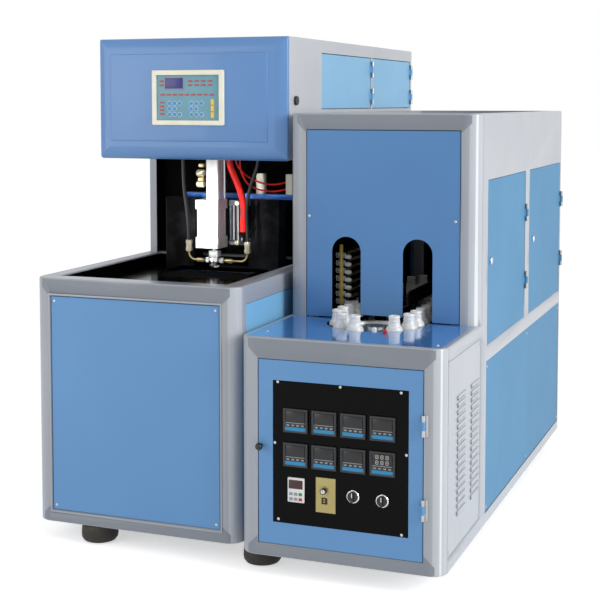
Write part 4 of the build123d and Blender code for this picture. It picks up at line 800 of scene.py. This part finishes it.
class MACHINE_OT_hinge_screws(bpy.types.Operator):
    """Add the screws of the hinge leaves"""

    bl_idname = "machine.hinge_screws"
    bl_label = "Hinge Screws"

    head_radius = 0.0026
    head_height = 0.0012
    leaf_inset = 0.0095
    leaf_reach = 0.008
    leaf_heights = (0.760, 0.997)
    screw_step = 0.02

    def execute(self, context):
        head = painted(facing(screw_head(self.head_radius, self.head_height), RIGHT), "zinc")
        face = max(v.co.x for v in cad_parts["hinge_pins"].data.vertices) - self.leaf_inset
        places = []
        for door in ("tower_door_front", "tower_door_rear"):
            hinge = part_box(door)[1].y + self.leaf_reach
            for height in self.leaf_heights:
                for step in (-self.screw_step, self.screw_step):
                    places.append(Vector((face, hinge, height + step)))
        piece(copies(head, places), "hinge_screws", "machine")
        return {"FINISHED"}


class MACHINE_OT_front_bead(bpy.types.Operator):
    """Add the bead round the base's front panel"""

    bl_idname = "machine.front_bead"
    bl_label = "Front Bead"

    gap = 0.0035

    def execute(self, context):
        width = context.scene.machine_sizes.bead_width
        low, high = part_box("blower_front_panel")
        margin = self.gap + width
        middle = Vector(((low.x + high.x) / 2, BLOWER.y, (low.z + high.z) / 2))
        deselect()
        bpy.ops.mesh.primitive_plane_add(size=1, location=middle, rotation=(math.radians(90), 0, 0))
        bead = bpy.context.object
        bead.scale = (high.x - low.x + 2 * margin, high.z - low.z + 2 * margin, 1)
        settle(bead)
        with editing(bead):
            bpy.ops.mesh.select_all(action="SELECT")
            bpy.ops.mesh.inset(thickness=width)
            bpy.ops.mesh.delete(type="FACE")
            bpy.ops.mesh.select_all(action="SELECT")
            bpy.ops.mesh.extrude_region_move(TRANSFORM_OT_translate={"value": (0, -0.4 * width, 0)})
            bpy.ops.mesh.select_all(action="SELECT")
            bpy.ops.mesh.normals_make_consistent(inside=False)
        smooth(modified(bead, "BEVEL", width=0.3 * width, segments=2))
        piece(painted(bead, "frame_enamel"), "front_bead", "machine")
        return {"FINISHED"}


class MACHINE_OT_head_keypad(bpy.types.Operator):
    """Build the membrane keypad with its display, lamps and keys"""

    bl_idname = "machine.head_keypad"
    bl_label = "Head Keypad"

    setback = 0.001
    key_pitch = 0.0185
    key_profile = ((0.0066, 0), (0.0066, 0.0006), (0.0058, 0.0014), (0.003, 0.0018))
    ring_profile = ((0.0078, 0), (0.0076, 0.0004), (0.0068, 0.0005))
    lamp_columns = (0.0176, 0.122, 0.146, 0.170, 0.194)
    lamp_rows = (0.1286, 0.1154)

    def execute(self, context):
        back = block(self.at(0, 0), KEYPAD_TOP, 0.0008)
        rim = block(self.at(0.027, 0.100, 0.001), self.at(0.101, 0.143, -0.001), 0.0006)
        window = block(self.at(0.031, 0.104, 0.0014), self.at(0.097, 0.139, -0.001), 0.0006)
        parts = [painted(back, "membrane"), painted(rim, "grey_plastic"), painted(window, "head_display")]
        spots = []
        for left in (0.047, 0.126):
            for column in range(3):
                for row in range(3):
                    if (column, row) != (2, 1):
                        spots.append((left + self.key_pitch * column, 0.019 + self.key_pitch * row))
        key = facing(turned(self.key_profile, 20), FRONT)
        ring = facing(turned(self.ring_profile, 20), FRONT)
        parts.append(copies(painted(ring, "white_plastic"), [self.at(x, z) for x, z in spots]))
        parts.append(copies(painted(key, "key_plastic"), [self.at(x, z, 0.0002) for x, z in spots]))
        reds = [self.at(x, z) for z in self.lamp_rows for x in self.lamp_columns]
        reds += [self.at(0.021 + 0.0224 * step, 0.084) for step in range(9)]
        reds += [self.at(0.0194, 0.058 - 0.0125 * step) for step in range(4)]
        bar = block((-0.0078, -0.0012, -0.0027), (0.0078, 0, 0.0027), 0.0005)
        parts.append(copies(painted(bar, "red_lamp"), reds))
        square = block((-0.006, -0.0016, -0.0092), (0.006, 0, 0.0092), 0.0006)
        yellows = [self.at(0.203, 0.060 - 0.021 * step) for step in range(3)]
        parts.append(copies(painted(square, "yellow_lamp"), yellows))
        pad = piece(joined(parts), "keypad_face", "machine")
        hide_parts("control_keypad")
        return {"FINISHED"}

    def at(self, x, z, rise=0.0):
        """Place on the keypad from its left bottom corner, standing out by a rise."""
        return Vector((KEYPAD.x + x, KEYPAD.y + self.setback - rise, KEYPAD.z + z))


class MACHINE_OT_controllers(bpy.types.Operator):
    """Build the eight temperature controllers, the drive's keypad unit and the selector rings"""

    bl_idname = "machine.controllers"
    bl_label = "Controllers"

    depth = 0.008
    recess = 0.0062
    half_size = Vector((0.0375, 0.035))
    columns = tuple(0.1785 + 0.0873 * column for column in range(4))
    rows = (0.408, 0.308)
    # side margin, bottom and top as shares of a controller's size, then rise, rounding and finish
    strips = (
        (0.12, 0.44, 0.90, 0.0008, 0.0006, "display_glass"),
        (0.12, 0.40, 0.425, 0.0006, 0.0, "grey_plastic"),
        (0.065, 0.075, 0.235, 0.0007, 0.0, "cyan_print"),
    )
    unit_low = (0.155, 0.170)
    unit_high = (0.206, 0.242)
    ring_profile = (
        (0.0156, 0), (0.0190, 0), (0.0190, 0.0018), (0.0178, 0.0032), (0.0162, 0.0032), (0.0156, 0.002),
    )
    ring_spots = ((0.352, 0.204), (0.439, 0.201))

    def execute(self, context):
        corner = Vector((HEATER.x, HEATER.z))
        middles = [corner + Vector((column, row)) for row in self.rows for column in self.columns]
        parts = []
        for middle in middles:
            parts += self.controller(middle - self.half_size, middle + self.half_size)
        parts += self.digits(middles[-1] - self.half_size, middles[-1] + self.half_size)
        parts += self.keypad_unit(corner + Vector(self.unit_low), corner + Vector(self.unit_high))
        ring = facing(turned(self.ring_profile, 32), FRONT)
        rings = [on_heater(x, SHEET.y - HEATER.y, z) for x, z in self.ring_spots]
        parts.append(copies(painted(ring, "chrome"), rings))
        made = piece(joined(parts), "panel_controllers", "control_door")
        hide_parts("panel_instruments")
        return {"FINISHED"}

    def controller(self, low, high):
        """Parts of the temperature controller between two corners of the sheet."""
        body = block((low.x, SHEET.y - self.depth, low.y), (high.x, SHEET.y, high.y), 0.0018)
        fronts = [face for face in body.data.polygons if face.normal.y < -0.99]
        front = max(fronts, key=lambda face: face.area).index
        select_parts(body, "FACE", lambda face: face.index == front)
        with editing(body):
            bpy.ops.mesh.inset(thickness=0.004)
            bpy.ops.mesh.extrude_region_move(TRANSFORM_OT_translate={"value": (0, 0.0018, 0)})
        parts = [painted(body, "instrument_plastic")]
        face = SHEET.y - self.recess
        width, height = high - low
        for margin, bottom, top, rise, rounding, finish in self.strips:
            strip_low = (low.x + margin * width, face - rise, low.y + bottom * height)
            strip_high = (high.x - margin * width, face + 0.001, low.y + top * height)
            parts.append(painted(block(strip_low, strip_high, rounding), finish))
        key = painted(block((-0.0042, -0.0014, -0.0022), (0.0042, 0.0008, 0.0022), 0.0007), "grey_plastic")
        key_z = low.y + 0.31 * height
        spots = [Vector((low.x + share * width, face, key_z)) for share in (0.2, 0.4, 0.6, 0.8)]
        return parts + [copies(key, spots)]

    def digits(self, low, high):
        """Lit segments of three digits on the display of one controller."""
        margin, bottom, top, rise = self.strips[0][:4]
        width, height = high - low
        face = SHEET.y - self.recess - rise - 0.0003
        middle_z = low.y + (bottom + top) / 2 * height
        columns = [low.x + margin * width + 0.013 + 0.015 * step for step in range(3)]
        middles = [Vector((x, face, middle_z + z)) for x in columns for z in (-0.0078, 0.0078)]
        level = block((-0.003, -0.0004, -0.0008), (0.003, 0.0004, 0.0008))
        places = [at + Vector((0, 0, z)) for at in middles for z in (-0.005, 0, 0.005)]
        parts = [copies(painted(level, "segment_grey"), places)]
        upright = block((-0.0008, -0.0004, -0.0020), (0.0008, 0.0004, 0.0020))
        corners = [Vector((x, 0, z)) for x in (-0.0036, 0.0036) for z in (-0.0025, 0.0025)]
        places = [at + corner for at in middles for corner in corners]
        return parts + [copies(painted(upright, "segment_grey"), places)]

    def keypad_unit(self, low, high):
        """Parts of the drive's keypad with its red window and six buttons."""
        face = SHEET.y - self.depth
        window_low = (low.x + 0.004, face - 0.0008, low.y + 0.040)
        window_high = (high.x - 0.004, face + 0.001, high.y - 0.006)
        parts = [
            painted(block((low.x, face, low.y), (high.x, SHEET.y, high.y), 0.0025, 3), "white_plastic"),
            painted(block(window_low, window_high, 0.0008), "red_display"),
        ]
        columns = [low.x + 0.011 + 0.0145 * column for column in range(3)]
        lower, upper = ([Vector((x, face, low.y + rise)) for x in columns] for rise in (0.010, 0.025))
        greys = lower[:2] + upper[:2]
        groups = (("grey_plastic", greys), ("button_green", upper[2:]), ("button_red", lower[2:]))
        for finish, spots in groups:
            button = block((-0.0052, -0.0016, -0.0044), (0.0052, 0.001, 0.0044), 0.0012)
            parts.append(copies(painted(button, finish), spots))
        return parts


class MACHINE_OT_dial_marks(bpy.types.Operator):
    """Add the pointers of the selectors and the marks round the speed knob and on the rocker"""

    bl_idname = "machine.dial_marks"
    bl_label = "Dial Marks"

    cap_profile = ((0.0062, 0), (0.0062, 0.0008), (0.005, 0.0016))
    tick_turns = tuple(math.radians(-135 + 27 * step) for step in range(11))

    def execute(self, context):
        for name in ("selector_left", "selector_right"):
            low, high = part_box(name)
            middle_x, middle_z = (low.x + high.x) / 2, (low.z + high.z) / 2
            mark_low = (middle_x - 0.0012, low.y - 0.0004, middle_z)
            mark = block(mark_low, (middle_x + 0.0012, low.y + 0.001, high.z - 0.002))
            piece(painted(mark, "white_plastic"), f"{name}_mark", name)
        low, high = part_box("speed_knob")
        middle = (low + high) / 2
        cap = facing(turned(self.cap_profile, 24), FRONT)
        cap.location = (middle.x, low.y, middle.z)
        cap = painted(settle(cap), "white_plastic")
        mark_low = (middle.x - 0.0006, low.y - 0.002, middle.z)
        mark = block(mark_low, (middle.x + 0.0006, low.y, middle.z + 0.006))
        cap = joined([cap, painted(mark, "black_plastic")])
        piece(cap, "speed_knob_cap", "speed_knob")
        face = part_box("speed_controller")[0].y
        marks = []
        for turn in self.tick_turns:
            tick = block((-0.0005, -0.0002, 0.0125), (0.0005, 0.0004, 0.0155))
            tick.rotation_euler = (0, turn, 0)
            tick.location = (middle.x, face, middle.z)
            marks.append(painted(settle(tick), "black_plastic"))
        low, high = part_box("power_rocker")
        for share in (0.3, 0.7):
            z = low.z + share * (high.z - low.z)
            bar_low = (low.x + 0.006, low.y - 0.0002, z - 0.001)
            bar = block(bar_low, (high.x - 0.006, low.y + 0.0006, z + 0.001))
            marks.append(painted(bar, "yellow_lamp"))
        piece(joined(marks), "speed_marks", "control_door")
        return {"FINISHED"}


class MACHINE_OT_preform_holders(bpy.types.Operator):
    """Turn the white holders that carry the preforms"""

    bl_idname = "machine.preform_holders"
    bl_label = "Preform Holders"

    ring_radius = 0.118
    along = 12
    around = 12
    rivet_drop = 0.0018
    holder_profile = (
        (0.0255, 0), (0.0268, 0.0014), (0.0262, 0.0080), (0.0236, 0.0120), (0.0228, 0.0158),
        (0.0196, 0.0178), (0.0178, 0.0230), (0.0166, 0.0300), (0.0176, 0.0310), (0.0176, 0.0334),
        (0.0164, 0.0344), (0.0160, 0.0412), (0.0174, 0.0424), (0.0174, 0.0482), (0.0162, 0.0499),
        (0.0110, 0.0499), (0.0104, 0.0430),
    )
    stud_profile = ((0.0088, 0), (0.0088, 0.005), (0.0070, 0.006), (0.0070, 0.0130), (0.0058, 0.0159))
    rivet_profile = ((0.0055, 0), (0.0055, 0.0014), (0.0045, 0.0020))

    def execute(self, context):
        low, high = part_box("preform_chain")
        places = self.places((low.x + high.x) / 2, high.z)
        bare = min(places, key=lambda at: (round(at.y, 4), -at.x))
        holder = painted(turned(self.holder_profile, 24), "white_plastic")
        stud = turned(self.stud_profile, 20)
        stud.location = bare
        stud = painted(settle(stud), "white_plastic")
        holders = joined([stud, copies(holder, [at for at in places if at != bare])])
        holders = piece(holders, "holders", "machine")
        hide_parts("preform_holders")
        rivet = painted(turned(self.rivet_profile, 12), "brushed_steel")
        rivets = [Vector((at.x, at.y, low.z - self.rivet_drop)) for at in places[: len(places) // 3]]
        piece(copies(rivet, rivets), "chain_rivets", "machine")
        return {"FINISHED"}

    def places(self, middle_x, base):
        """Places of the holders along both straights and round both ends of the chain."""
        wheels = (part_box("chain_wheel_front"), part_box("chain_wheel_rear"))
        front, rear = ((low.y + high.y) / 2 for low, high in wheels)
        pitch = (rear - front) / self.along
        spots = []
        for step in range(self.along):
            spots.append((middle_x + self.ring_radius, front + (step + 0.5) * pitch))
            spots.append((middle_x - self.ring_radius, rear - (step + 0.5) * pitch))
        for step in range(self.around // 2):
            turn = 2 * math.pi * (step + 0.5) / self.around
            side, reach = self.ring_radius * math.cos(turn), self.ring_radius * math.sin(turn)
            spots.append((middle_x + side, rear + reach))
            spots.append((middle_x - side, front - reach))
        return [Vector((x, y, base)) for x, y in spots]


class MACHINE_OT_lamp_banks(bpy.types.Operator):
    """Build the quartz lamps with ceramic ends and coil springs, and the wire sleeves"""

    bl_idname = "machine.lamp_banks"
    bl_label = "Lamp Banks"

    count = 7
    radius = 0.005
    sleeve_inset = 0.007
    cap_profile = ((0.0046, 0.012), (0.005, 0.013), (0.005, 0.032), (0.0042, 0.034))
    bulb_profile = (
        (0.0030, 0), (0.0062, 0.002), (0.0070, 0.008), (0.0070, 0.016), (0.0050, 0.021), (0.0022, 0.022),
    )

    def execute(self, context):
        sizes = context.scene.machine_sizes
        pitch = (LAMPS_TOP.z - LAMPS.z - 2 * self.radius) / (self.count - 1)
        heights = [LAMPS.z + self.radius + pitch * step for step in range(self.count)]
        middles_x = (LAMPS.x + self.radius, LAMPS_TOP.x - self.radius)
        spots = [Vector((x, LAMPS.y, z)) for x in middles_x for z in heights]
        lamps = joined([copies(part, spots) for part in self.lamp(LAMPS_TOP.y - LAMPS.y)])
        lamps = piece(lamps, "lamp_tubes", "machine")
        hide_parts("quartz_lamps")
        reach = LAMPS_TOP.z - LAMPS.z + 0.03
        sleeve = turned([(0.0060, 0), (0.0066, 0.002), (0.0066, reach), (0.0056, reach + 0.004)], 18)
        front = LAMPS.y - sizes.spring_radius
        ends = (LAMPS.x + self.sleeve_inset, LAMPS_TOP.x - self.sleeve_inset)
        wires = [copies(painted(sleeve, "sleeve"), [Vector((x, front, LAMPS.z - 0.005)) for x in ends])]
        coils = [Vector((x - sizes.spring_length / 2, front, z)) for x in ends for z in heights]
        wires.append(copies(painted(self.spring(sizes), "ceramic"), coils))
        bulb = facing(turned(self.bulb_profile, 16), RIGHT)
        bulbs = [Vector((x + 0.012, front, z - 0.004)) for x in ends for z in heights]
        wires.append(copies(painted(bulb, "white_plastic"), bulbs))
        piece(joined(wires), "lamp_leads", "machine")
        return {"FINISHED"}

    def lamp(self, span):
        """Tube and both end caps of one lamp, laid from front to back over a span."""
        tube = [(0.0048, 0.03), (0.0048, span - 0.03), (0.0036, span - 0.026)]
        far_cap = [(0.0042, span - 0.034), (0.005, span - 0.032), (0.005, span - 0.001), (0.0044, span)]
        parts = ((tube, "quartz"), (self.cap_profile, "ceramic"), (far_cap, "ceramic"))
        return [painted(facing(turned(profile, 14), -FRONT), finish) for profile, finish in parts]

    def spring(self, sizes):
        """Coil spring along X, screwed from one round of wire."""
        turns = 6
        wire = sizes.spring_wire
        place = (sizes.spring_radius - wire, 0, 0)
        deselect()
        bpy.ops.mesh.primitive_circle_add(
            vertices=6, radius=wire, fill_type="NOTHING", location=place, rotation=(math.radians(90), 0, 0)
        )
        coil = settle(bpy.context.object)
        rise = sizes.spring_length / turns
        modified(coil, "SCREW", axis="Z", iterations=turns, screw_offset=rise, steps=12, render_steps=12)
        with editing(coil):
            bpy.ops.mesh.select_all(action="SELECT")
            bpy.ops.mesh.remove_doubles(threshold=0.00005)
            bpy.ops.mesh.normals_make_consistent(inside=False)
        return facing(smooth(coil), RIGHT)


class MACHINE_OT_air_fittings(bpy.types.Operator):
    """Add nuts and fittings to the pipes, hoses and cylinders"""

    bl_idname = "machine.air_fittings"
    bl_label = "Air Fittings"

    # drop below the pipes' top, radius and height of the nuts on both pipes
    pipe_nuts = ((0.037, 0.0114, 0.010), (0.012, 0.0114, 0.009))
    # drop below the head, radius, reach and finish of each port on the column's left side
    port_fittings = (
        (0.030, 0.008, 0.018, "brass"), (0.056, 0.012, 0.026, "hose_fitting"),
        (0.078, 0.009, 0.020, "brass"), (0.094, 0.011, 0.026, "hose_fitting"),
    )
    tie_profile = ((0.0032, 0), (0.0032, 0.120), (0.0026, 0.121))
    bolt_profile = ((0.0052, 0), (0.0052, 0.006), (0.0046, 0.0066), (0.003, 0.0066), (0.0028, 0.003))
    pipe_inset = 0.010
    bolt_inset = 0.011

    def execute(self, context):
        low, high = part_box("air_pipes")
        column_low, column_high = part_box("stretch_cylinder")
        axis_y = (column_low.y + column_high.y) / 2
        parts = []
        for x in (low.x + self.pipe_inset, high.x - self.pipe_inset):
            for drop, radius, height in self.pipe_nuts:
                parts.append(self.placed(nut(radius, height), (x, axis_y, high.z - drop), "hose_fitting"))
        piece(joined(parts), "pipe_nuts", "seal_carriage")
        parts = []
        for drop, radius, reach, finish in self.port_fittings:
            place = (column_low.x + 0.002, axis_y - 0.006, HEAD.z - drop)
            parts.append(self.placed(facing(nut(radius, reach), -RIGHT), place, finish))
        low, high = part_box("side_cylinder")
        middle_x, foot_z = (low.x + high.x) / 2, (low.z + high.z) / 2 - 0.06
        tie = painted(turned(self.tie_profile, 12), "chrome")
        ties = [Vector((middle_x + step, low.y - 0.0034, foot_z)) for step in (-0.012, 0.004, 0.018)]
        parts.append(copies(tie, ties))
        knot = painted(facing(nut(0.009, 0.012), FRONT), "hose_fitting")
        knots = [Vector((middle_x + 0.002, low.y, foot_z + rise)) for rise in (-0.008, 0.128)]
        parts.append(copies(knot, knots))
        bolt = painted(turned(self.bolt_profile, 16), "zinc")
        low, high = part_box("seal_cylinder")
        inset = self.bolt_inset
        columns, rows = (low.x + inset, high.x - inset), (low.y + inset, high.y - inset)
        parts.append(copies(bolt, [Vector((x, y, high.z)) for x in columns for y in rows]))
        piece(joined(parts), "cylinder_fittings", "machine")
        return {"FINISHED"}

    def placed(self, obj, place, finish):
        """One fitting painted and set down at its place."""
        obj.location = place
        return settle(painted(obj, finish))


class MACHINE_OT_feet(bpy.types.Operator):
    """Turn the rubber feet"""

    bl_idname = "machine.feet"
    bl_label = "Feet"

    foot_profile = (
        (0.0420, 0), (0.0500, 0.003), (0.0560, 0.011), (0.0579, 0.020), (0.0579, 0.026), (0.0566, 0.045),
        (0.0540, 0.053), (0.0480, 0.0599),
    )

    # height below which a corner rests on the floor, and reach from a foot's middle to its corners
    floor_height = 0.0005
    foot_reach = 0.09

    def execute(self, context):
        foot = painted(turned(self.foot_profile, 40), "foot_rubber")
        feet = piece(copies(foot, self.places()), "rubber_feet", "machine")
        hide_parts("feet")
        return {"FINISHED"}

    def places(self):
        """Middle of each foot on the floor, from the lowest corners of the frame's feet."""
        groups = []
        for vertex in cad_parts["feet"].data.vertices:
            if vertex.co.z >= self.floor_height:
                continue
            spot = Vector((vertex.co.x, vertex.co.y))
            for group in groups:
                if (spot - group[0] / group[1]).length < self.foot_reach:
                    group[0] += spot
                    group[1] += 1
                    break
            else:
                groups.append([spot, 1])
        return [Vector((*(total / count), 0)) for total, count in groups]


class MACHINE_OT_louvre_hoods(bpy.types.Operator):
    """Press a hood over each vent slot"""

    bl_idname = "machine.louvre_hoods"
    bl_label = "Louvre Hoods"

    hood_length = 0.096
    hood_height = 0.010
    columns = (0.189, 0.355)
    rows = tuple(0.1455 + 0.021 * row for row in range(17))

    def execute(self, context):
        lip = context.scene.machine_sizes.louvre_lip
        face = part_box("louvre_panel")[1].x - HEATER.x
        deselect()
        size = (lip, self.hood_length, self.hood_height)
        bpy.ops.mesh.primitive_cube_add(size=1, location=(0, 0, 0), scale=size)
        hood = settle(bpy.context.object)
        outer = [v.co.x > 0 and v.co.z > 0 for v in hood.data.vertices]
        select_parts(hood, "EDGE", lambda edge: all(outer[i] for i in edge.vertices))
        with editing(hood):
            bpy.ops.mesh.bevel(offset=0.85 * lip, segments=4)
        places = [on_heater(face + 0.5 * lip, y, z) for y in self.columns for z in self.rows]
        hoods = copies(painted(smooth(hood), "frame_enamel"), places)
        piece(hoods, "louvre_hoods", "machine")
        return {"FINISHED"}


class MACHINE_OT_table_peg(bpy.types.Operator):
    """Add the small red peg beside the chain on the heater's table"""

    bl_idname = "machine.table_peg"
    bl_label = "Table Peg"

    spot = (0.388, 0.186)

    def execute(self, context):
        peg = painted(block((-0.006, -0.005, 0), (0.006, 0.005, 0.010), 0.0015), "button_red")
        peg.location = on_heater(*self.spot, TABLE_TOP.z - HEATER.z)
        piece(settle(peg), "table_peg", "machine")
        return {"FINISHED"}


class MACHINE_OT_clamp_bolts(bpy.types.Operator):
    """Add cap screws to the mould halves"""

    bl_idname = "machine.clamp_bolts"
    bl_label = "Clamp Bolts"

    side_inset = 0.02
    end_inset = 0.03

    def execute(self, context):
        radius = context.scene.machine_sizes.bolt_radius
        rim = [(radius, 0), (radius, 0.005), (0.9 * radius, 0.0056)]
        profile = rim + [(0.55 * radius, 0.0056), (0.5 * radius, 0.002)]
        for side, name in (("left", "mould_half_left"), ("right", "mould_half_right")):
            low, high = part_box(name)
            columns = (low.x + self.side_inset, high.x - self.side_inset)
            rows = (low.z + self.end_inset, high.z - self.end_inset)
            bolt = painted(facing(turned(profile, 14), FRONT), "zinc")
            bolts = copies(bolt, [Vector((x, low.y, z)) for x in columns for z in rows])
            piece(bolts, f"mould_bolts_{side}", f"mould_side_{side}")
        return {"FINISHED"}


class MACHINE_OT_studio(bpy.types.Operator):
    """Set up the floor, the light and the camera"""

    bl_idname = "machine.studio"
    bl_label = "Studio"

    # place and size of each lamp
    key = (6.4, -1.6, 3.0), 3.0
    fill = (-3.0, -3.8, 1.7), 2.8
    bay = (-0.5, -2.6, 0.95), 0.1
    bay_target = (-0.31, -0.3, 1.0)
    bay_spread = math.radians(9)

    def execute(self, context):
        studio = context.scene.machine_studio
        self.floor(studio.floor_glow)
        self.room(context.scene, studio.room_light)
        self.lamp("key_lamp", *self.key, studio.key_power)
        self.lamp("fill_lamp", *self.fill, studio.fill_power)
        bay_lamp = self.lamp("bay_lamp", *self.bay, studio.bay_power, self.bay_target)
        bay_lamp.data.spread = self.bay_spread
        bay_lamp.visible_glossy = False
        data = bpy.data.cameras.new("photo_camera")
        data.lens = studio.camera_lens
        data.sensor_width = 36
        data.shift_y = studio.camera_shift
        camera = bpy.data.objects.new("photo_camera", data)
        camera.location = studio.camera_place
        camera.rotation_euler = (math.radians(90) - studio.camera_pitch, 0, studio.camera_turn)
        context.collection.objects.link(camera)
        context.scene.camera = camera
        context.scene.view_settings.view_transform = "Standard"
        return {"FINISHED"}

    def floor(self, strength):
        """Pale floor that keeps the machine's shadow."""
        deselect()
        bpy.ops.mesh.primitive_plane_add(size=60, location=(0, 0, -0.0005))
        ground = bpy.context.object
        ground.name = "studio_floor"
        material = bpy.data.materials.new("studio_floor")
        material.use_nodes = True
        tree = material.node_tree
        shader = tree.nodes["Principled BSDF"]
        shader.inputs["Base Color"].default_value = (0.94, 0.94, 0.94, 1)
        shader.inputs["Roughness"].default_value = 0.9
        glow = add_node(tree, "ShaderNodeEmission", Color=(1, 1, 1, 1))
        share = add_node(tree, "ShaderNodeMath")
        share.operation = "MULTIPLY"
        share.inputs[1].default_value = strength
        tree.links.new(self.seen(tree), share.inputs[0])
        tree.links.new(share.outputs["Value"], glow.inputs["Strength"])
        both = tree.nodes.new("ShaderNodeAddShader")
        tree.links.new(shader.outputs["BSDF"], both.inputs[0])
        tree.links.new(glow.outputs["Emission"], both.inputs[1])
        tree.links.new(both.outputs["Shader"], tree.nodes["Material Output"].inputs["Surface"])
        ground.data.materials.append(material)

    def seen(self, tree):
        """One for what the camera sees, straight, in gloss or through glass."""
        path = tree.nodes.new("ShaderNodeLightPath")
        value = path.outputs["Is Camera Ray"]
        for label in ("Is Glossy Ray", "Is Transmission Ray"):
            larger = add_node(tree, "ShaderNodeMath")
            larger.operation = "MAXIMUM"
            tree.links.new(value, larger.inputs[0])
            tree.links.new(path.outputs[label], larger.inputs[1])
            value = larger.outputs["Value"]
        return value

    def room(self, scene, strength):
        """Even room light, with a white wall behind what the camera and gloss see."""
        world = bpy.data.worlds.new("studio_room")
        scene.world = world
        world.use_nodes = True
        tree = world.node_tree
        even = tree.nodes["Background"]
        even.inputs["Color"].default_value = (1, 1, 1, 1)
        even.inputs["Strength"].default_value = strength
        wall = add_node(tree, "ShaderNodeBackground", Color=(1, 1, 1, 1), Strength=1.0)
        mix = tree.nodes.new("ShaderNodeMixShader")
        tree.links.new(self.seen(tree), mix.inputs["Fac"])
        tree.links.new(even.outputs["Background"], mix.inputs[1])
        tree.links.new(wall.outputs["Background"], mix.inputs[2])
        tree.links.new(mix.outputs["Shader"], tree.nodes["World Output"].inputs["Surface"])

    def lamp(self, name, place, size, power, target=(0, 0, 0.8)):
        """Soft lamp aimed at a place on the machine."""
        data = bpy.data.lights.new(name, "AREA")
        data.shape = "SQUARE"
        data.size = size
        data.energy = power
        lamp = bpy.data.objects.new(name, data)
        lamp.location = place
        aim = Vector(target) - Vector(place)
        lamp.rotation_euler = aim.to_track_quat("-Z", "Y").to_euler()
        bpy.context.collection.objects.link(lamp)
        return lamp


OPERATORS = (
    MACHINE_OT_mix_finishes,
    MACHINE_OT_finish_nodes,
    MACHINE_OT_blowing_gear,
    MACHINE_OT_dark_oven,
    MACHINE_OT_head_front,
    MACHINE_OT_panel_screws,
    MACHINE_OT_hinge_screws,
    MACHINE_OT_front_bead,
    MACHINE_OT_head_keypad,
    MACHINE_OT_controllers,
    MACHINE_OT_dial_marks,
    MACHINE_OT_preform_holders,
    MACHINE_OT_lamp_banks,
    MACHINE_OT_air_fittings,
    MACHINE_OT_feet,
    MACHINE_OT_louvre_hoods,
    MACHINE_OT_table_peg,
    MACHINE_OT_clamp_bolts,
    MACHINE_OT_studio,
)


class MACHINE_PT_sidebar(bpy.types.Panel):
    """Steps that dress the machine"""

    bl_idname = "MACHINE_PT_sidebar"
    bl_label = "Blow Moulding Machine"
    bl_space_type = "VIEW_3D"
    bl_region_type = "UI"
    bl_category = "Machine"

    def draw(self, context):
        scene = context.scene
        for group in (scene.machine_colours, scene.machine_sizes, scene.machine_studio):
            for name in group.bl_rna.properties.keys():
                if name not in ("rna_type", "name"):
                    self.layout.prop(group, name)
        for operator in OPERATORS:
            self.layout.operator(operator.bl_idname)


CLASSES = (MachineColours, MachineSizes, MachineStudio, *OPERATORS, MACHINE_PT_sidebar)


def register():
    for cls in CLASSES:
        bpy.utils.register_class(cls)
    bpy.types.Scene.machine_colours = bpy.props.PointerProperty(type=MachineColours)
    bpy.types.Scene.machine_sizes = bpy.props.PointerProperty(type=MachineSizes)
    bpy.types.Scene.machine_studio = bpy.props.PointerProperty(type=MachineStudio)


def unregister():
    del bpy.types.Scene.machine_studio
    del bpy.types.Scene.machine_sizes
    del bpy.types.Scene.machine_colours
    for cls in reversed(CLASSES):
        bpy.utils.unregister_class(cls)


def main():
    """Registers the add-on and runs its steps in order."""
    register()
    for operator in OPERATORS:
        group, name = operator.bl_idname.split(".")
        getattr(getattr(bpy.ops, group), name)()


if __name__ == "__main__":
    main()
